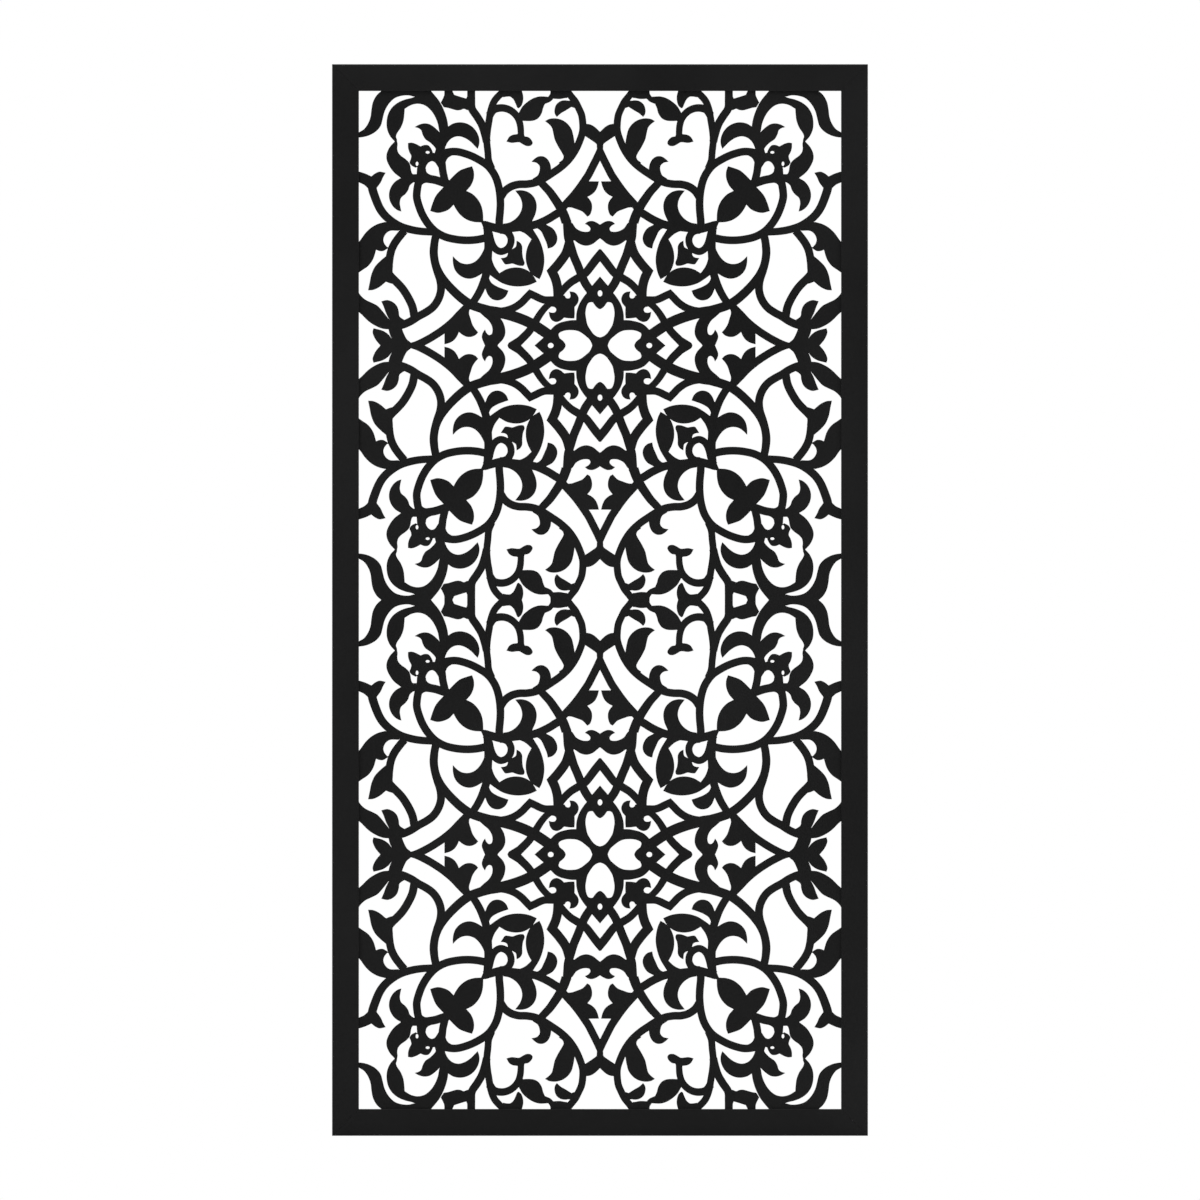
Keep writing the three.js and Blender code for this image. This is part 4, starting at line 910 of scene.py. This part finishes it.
def rounded(corners, radii):
    # an outline with each corner rounded off by its own radius
    steps = 4
    outline = []
    corners = [np.array(c, float) for c in corners]
    for i, (corner, radius) in enumerate(zip(corners, radii)):
        back = corners[i - 1] - corner
        ahead = corners[(i + 1) % len(corners)] - corner
        back /= np.linalg.norm(back)
        ahead /= np.linalg.norm(ahead)
        centre = corner + (back + ahead) * radius
        for s in range(steps + 1):
            angle = math.pi / 2 * s / steps
            outline.append(centre - ahead * radius * math.cos(angle) - back * radius * math.sin(angle))
    return np.array(outline)


def turned(verts, side):
    # from along the bottom edge to along another side
    turns, (x0, z0) = sides[side][1:]
    c, s = [(1, 0), (0, 1), (-1, 0), (0, -1)][turns]
    x, y, z = np.asarray(verts, float).T
    return np.stack([x0 + x * c - z * s, y, z0 + x * s + z * c], 1)


def mitredBar(name, side, outline, chamber=None):
    # a section swept along one side, with a mitre and a fine groove at each end
    length = sides[side][0]
    groove = member["mitreGroove"]
    loops = [outline] if chamber is None else [outline, chamber[::-1]]
    ring = np.arange(len(outline))
    around = np.stack([ring, np.roll(ring, -1)], 1)
    ends = [drawnIntoMetal(outline, around, groove), *loops[1:]]
    section, endSection = np.vstack(loops), np.vstack(ends)
    rings = []
    for shape, short in ((endSection, 0), (section, groove)):
        reach = length / 2 - shape[:, 0] - member["mitreGap"] - short
        rings.append(np.stack([-reach, shape[:, 1], shape[:, 0]], 1))
    rings += [ring * (-1, 1, 1) for ring in rings[::-1]]
    count = len(section)
    faces = []
    last = len(rings) - 1
    for level in range(last):
        base = level * count
        for loop in loops:
            n = len(loop)
            faces += [(base + i, base + (i + 1) % n, count + base + (i + 1) % n, count + base + i)
                      for i in range(n)]
            base += n
    points, caps = fillLoops(ends)
    index = [int(np.argmin(((endSection - p) ** 2).sum(1))) for p in points]
    for cap in caps:
        ids = [index[i] for i in cap]
        faces += [ids[::-1], [last * count + i for i in ids]]
    bar = newPiece(name, turned(np.vstack(rings), side) * mm, faces)
    outwards(bar)
    return bar


def drill(piece, side, places, y, radius, z0, z1):
    # bores across the bar at each place along it
    count = screw["boreSides"]
    verts, faces = [], []
    for x in places:
        base = len(verts)
        for z in (z0, z1):
            for i in range(count):
                angle = 2 * math.pi * i / count
                verts.append((x + radius * math.cos(angle), y + radius * math.sin(angle), z))
        ring = range(count)
        faces += [[base + i, base + (i + 1) % count, base + count + (i + 1) % count, base + count + i]
                  for i in ring]
        faces += [[base + i for i in reversed(ring)], [base + count + i for i in ring]]
    cutter = newPiece("cutter", turned(verts, side) * mm, faces)
    outwards(cutter)
    cut = piece.modifiers.new("bores", "BOOLEAN")
    cut.operation = "DIFFERENCE"
    cut.solver = "EXACT"
    cut.object = cutter
    depsgraph = bpy.context.evaluated_depsgraph_get()
    bored = bpy.data.meshes.new_from_object(piece.evaluated_get(depsgraph))
    piece.modifiers.clear()
    piece.data = bored
    bpy.data.objects.remove(cutter)
    crease(piece)


screw = {
    "headRadius": 3.6,
    "headHeight": 2,
    "headLip": 0.3,  # straight side of the head, with its lower half broken inwards
    "lipShare": 0.96,
    "crownShare": 0.5,  # flat top, as a share of the head's radius
    "domeSteps": 6,
    "shankRadius": 1.9,
    "plainLength": 0.8,
    "beyondWall": 3,
    "pitch": 0.8,
    "threadStart": 1,
    "threadEnd": 2.2,
    "threadShare": 0.84,  # radius at the root of the thread, as a share of the shank's
    "leadLength": 0.6,
    "leadShare": 0.8,
    "tipShare": 0.55,
    "socket": 1.15,  # half the width across the socket's flats
    "socketDepth": 1.2,
    "socketBreak": 0.12,
    "socketMouth": 1.06,
    "clearance": 0.3,
    "endDistance": 70,
    "maxSpacing": 520,
    "sides": 36,
    "boreSides": 24,
    "creaseAngle": 38,
}
screwY = bead["front"] + bead["depth"] / 2
beadStart = member["tubeWidth"] + bead["gap"]
beadInner = beadStart + bead["width"]


def screwPlaces(length):
    # evenly spaced between the end distances
    span = length - 2 * member["tubeWidth"] - 2 * screw["endDistance"]
    count = math.ceil(span / screw["maxSpacing"]) + 1
    return [(i / (count - 1) - 0.5) * span for i in range(count)]


def screwRings():
    # radius, height and whether hexagonal: from the tip over the domed head and into its socket
    tip = member["tubeWidth"] - member["tubeWall"] - screw["beyondWall"]
    seat = beadInner + bead["gap"]
    shank, head, pitch = screw["shankRadius"], screw["headRadius"], screw["pitch"]
    rings = [(shank * screw["tipShare"], tip, 0)]
    rings.append((shank * screw["leadShare"], tip + screw["leadLength"], 0))
    for i in range(int((seat - tip - screw["threadEnd"]) / pitch)):
        z = tip + screw["threadStart"] + i * pitch
        rings += [(shank, z, 0), (shank * screw["threadShare"], z + pitch / 2, 0)]
    rings += [(shank, seat - screw["plainLength"], 0), (shank, seat, 0)]
    lip, crown = screw["headLip"], head * screw["crownShare"]
    rings += [(head * screw["lipShare"], seat, 0), (head, seat + lip / 2, 0)]
    for i in range(screw["domeSteps"]):
        angle = math.pi / 2 * (i + 1) / screw["domeSteps"]
        z = seat + lip + (screw["headHeight"] - lip) * math.sin(angle)
        rings.append((crown + (head - crown) * math.cos(angle), z, 0))
    top = seat + screw["headHeight"]
    hexagon = screw["socket"]
    rings += [(hexagon * screw["socketMouth"], top, 1), (hexagon, top - screw["socketBreak"], 1)]
    return rings + [(hexagon, top - screw["socketDepth"], 1)]


def screwPiece(side, number, x):
    count = screw["sides"]
    verts, faces = [], []
    for radius, z, flats in screwRings():
        for i in range(count):
            angle = 2 * math.pi * i / count
            fromFlat = (angle + math.pi / 6) % (math.pi / 3) - math.pi / 6
            r = radius / math.cos(fromFlat) if flats else radius
            verts.append((x + r * math.cos(angle), screwY + r * math.sin(angle), z))
    rings = len(verts) // count
    for ring in range(rings - 1):
        a, b = ring * count, (ring + 1) * count
        faces += [[a + i, a + (i + 1) % count, b + (i + 1) % count, b + i] for i in range(count)]
    faces += [list(range(count))[::-1], [(rings - 1) * count + i for i in range(count)]]
    made = newPiece(f"bead_screw_{side}_{number}", turned(verts, side) * mm, faces)
    outwards(made)
    crease(made, screw["creaseAngle"], flats=False)
    finishPiece(made, screwSteel, "screw", f"screw_{side}_{number}")


def roundedRectangle(x0, x1, y0, y1, radius):
    return rounded(rectangleOutline(x0, x1, y0, y1), [radius] * 4)


def memberOutline():
    # a tube with a lip in front of the rebate
    front, back = frontY, -frontY
    tube, lip, border = member["tubeWidth"], member["lip"], panel["border"]
    corners = [
        (0, front), (border, front), (border, front + lip),
        (tube, front + lip), (tube, back), (0, back),
    ]
    radii = [member[kind + "Radius"] for kind in ("outer", "lip", "lip", "root", "outer", "outer")]
    return rounded(corners, radii)


wall, tube = member["tubeWall"], member["tubeWidth"]
chamber = roundedRectangle(wall, tube - wall, frontY + wall, -frontY - wall, member["chamberRadius"])
beadBack = bead["front"] + bead["depth"]
beadSection = roundedRectangle(beadStart, beadInner, bead["front"], beadBack, bead["radius"])
bore = screw["shankRadius"] + screw["clearance"]
past = 1  # how far a bore's cutter runs past the metal

for side in sides:
    places = screwPlaces(sides[side][0])
    bar = mitredBar(f"frame_member_{side}", side, memberOutline(), chamber)
    drill(bar, side, places, screwY, bore, tube - wall - past, tube + past)
    finishPiece(bar, blackCoat, "coated_steel", f"frame_{side}")
    strip = mitredBar(f"glazing_bead_{side}", side, beadSection)
    drill(strip, side, places, screwY, bore, beadStart - past, beadInner + past)
    finishPiece(strip, blackCoat, "coated_steel", f"bead_{side}")
    for number, x in enumerate(places, 1):
        screwPiece(side, number, x)
print("frame, beads and screws made")

# The corner keys stay as the frame has them, with a broken edge
cornerKey = {"brokenEdge": 0.4, "segments": 2}

for name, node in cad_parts.items():
    if name.startswith("corner_key"):
        node.data.materials.clear()
        node.data.materials.append(keyAluminium)
        soften = node.modifiers.new("broken_edges", "BEVEL")
        soften.width = cornerKey["brokenEdge"] * mm
        soften.segments = cornerKey["segments"]
        soften.limit_method = "ANGLE"

# The studio, in metres
studio = {
    "backdrop": 1.0,
    "ambient": 0.3,
    "viewWidth": 1.3438,
    "distance": 4,
    "farEnd": 40,
    "lights": {  # place, watts, size
        "keyLight": ((-2.2, -2.0, 3.2), 60, 1.8),
        "fillLight": ((3.0, -1.4, 2.2), 30, 2.2),
        "rearLight": ((1.4, 2.6, 3.0), 70, 2.0),
        "topLight": ((0, 0, 5.5), 420, 8.0),
    },
}
ground = {
    "half": 7,
    "pale": (0.9, 0.9, 0.89, 1),
    "paleAlso": (0.86, 0.86, 0.85, 1),
    "patchScale": 1.4,
    "roughness": 0.7,
    "shine": 0.2,
}


def paleFloor():
    finish = Finish(bpy.data.materials.new("pale_floor"))
    patches = finish.cloud(finish.place(), ground["patchScale"], 3)
    return finish.close(
        Base_Color=finish.blendColours(patches, ground["paleAlso"], ground["pale"]),
        Roughness=ground["roughness"],
        Specular_IOR_Level=ground["shine"],
    )


def layFloor():
    half = ground["half"]
    verts = [(x, y, 0) for x, y in rectangleOutline(-half, half, -half, half)]
    floor = newPiece("floor", verts, [(0, 1, 2, 3)])
    floor.data.materials.append(paleFloor())


def lightStudio():
    # soft lamps, and a world that is white to the camera and dimmer as a light
    aim = Vector((0, 0, panel["height"] / 2 * mm))
    for name, (place, power, size) in studio["lights"].items():
        lamp = bpy.data.lights.new(name, "AREA")
        lamp.energy = power
        lamp.size = size
        light = bpy.data.objects.new(name, lamp)
        light.location = place
        light.rotation_euler = (aim - Vector(place)).to_track_quat("-Z", "Y").to_euler()
        bpy.context.scene.collection.objects.link(light)
    world = bpy.data.worlds.new("pale_studio")
    finish = Finish(world)
    seen = finish.node("ShaderNodeLightPath", {}, {}, "Is Camera Ray")
    levels = {"Value": seen, "To Min": studio["ambient"], "To Max": studio["backdrop"]}
    level = finish.node("ShaderNodeMapRange", {}, levels)
    sky = finish.node("ShaderNodeBackground", {}, {"Color": (1, 1, 1, 1), "Strength": level})
    finish.node("ShaderNodeOutputWorld", {}, {"Surface": sky})
    bpy.context.scene.world = world
    bpy.context.scene.view_settings.view_transform = "Standard"


def placeCamera():
    lens = bpy.data.cameras.new("straight_on")
    lens.type = "ORTHO"
    lens.ortho_scale = studio["viewWidth"]
    lens.clip_end = studio["farEnd"]
    camera = bpy.data.objects.new("straight_on", lens)
    camera.location = (0, -studio["distance"], panel["height"] / 2 * mm)
    camera.rotation_euler = (math.pi / 2, 0, 0)
    bpy.context.scene.collection.objects.link(camera)
    bpy.context.scene.camera = camera


layFloor()
lightStudio()
placeCamera()
print("studio set")
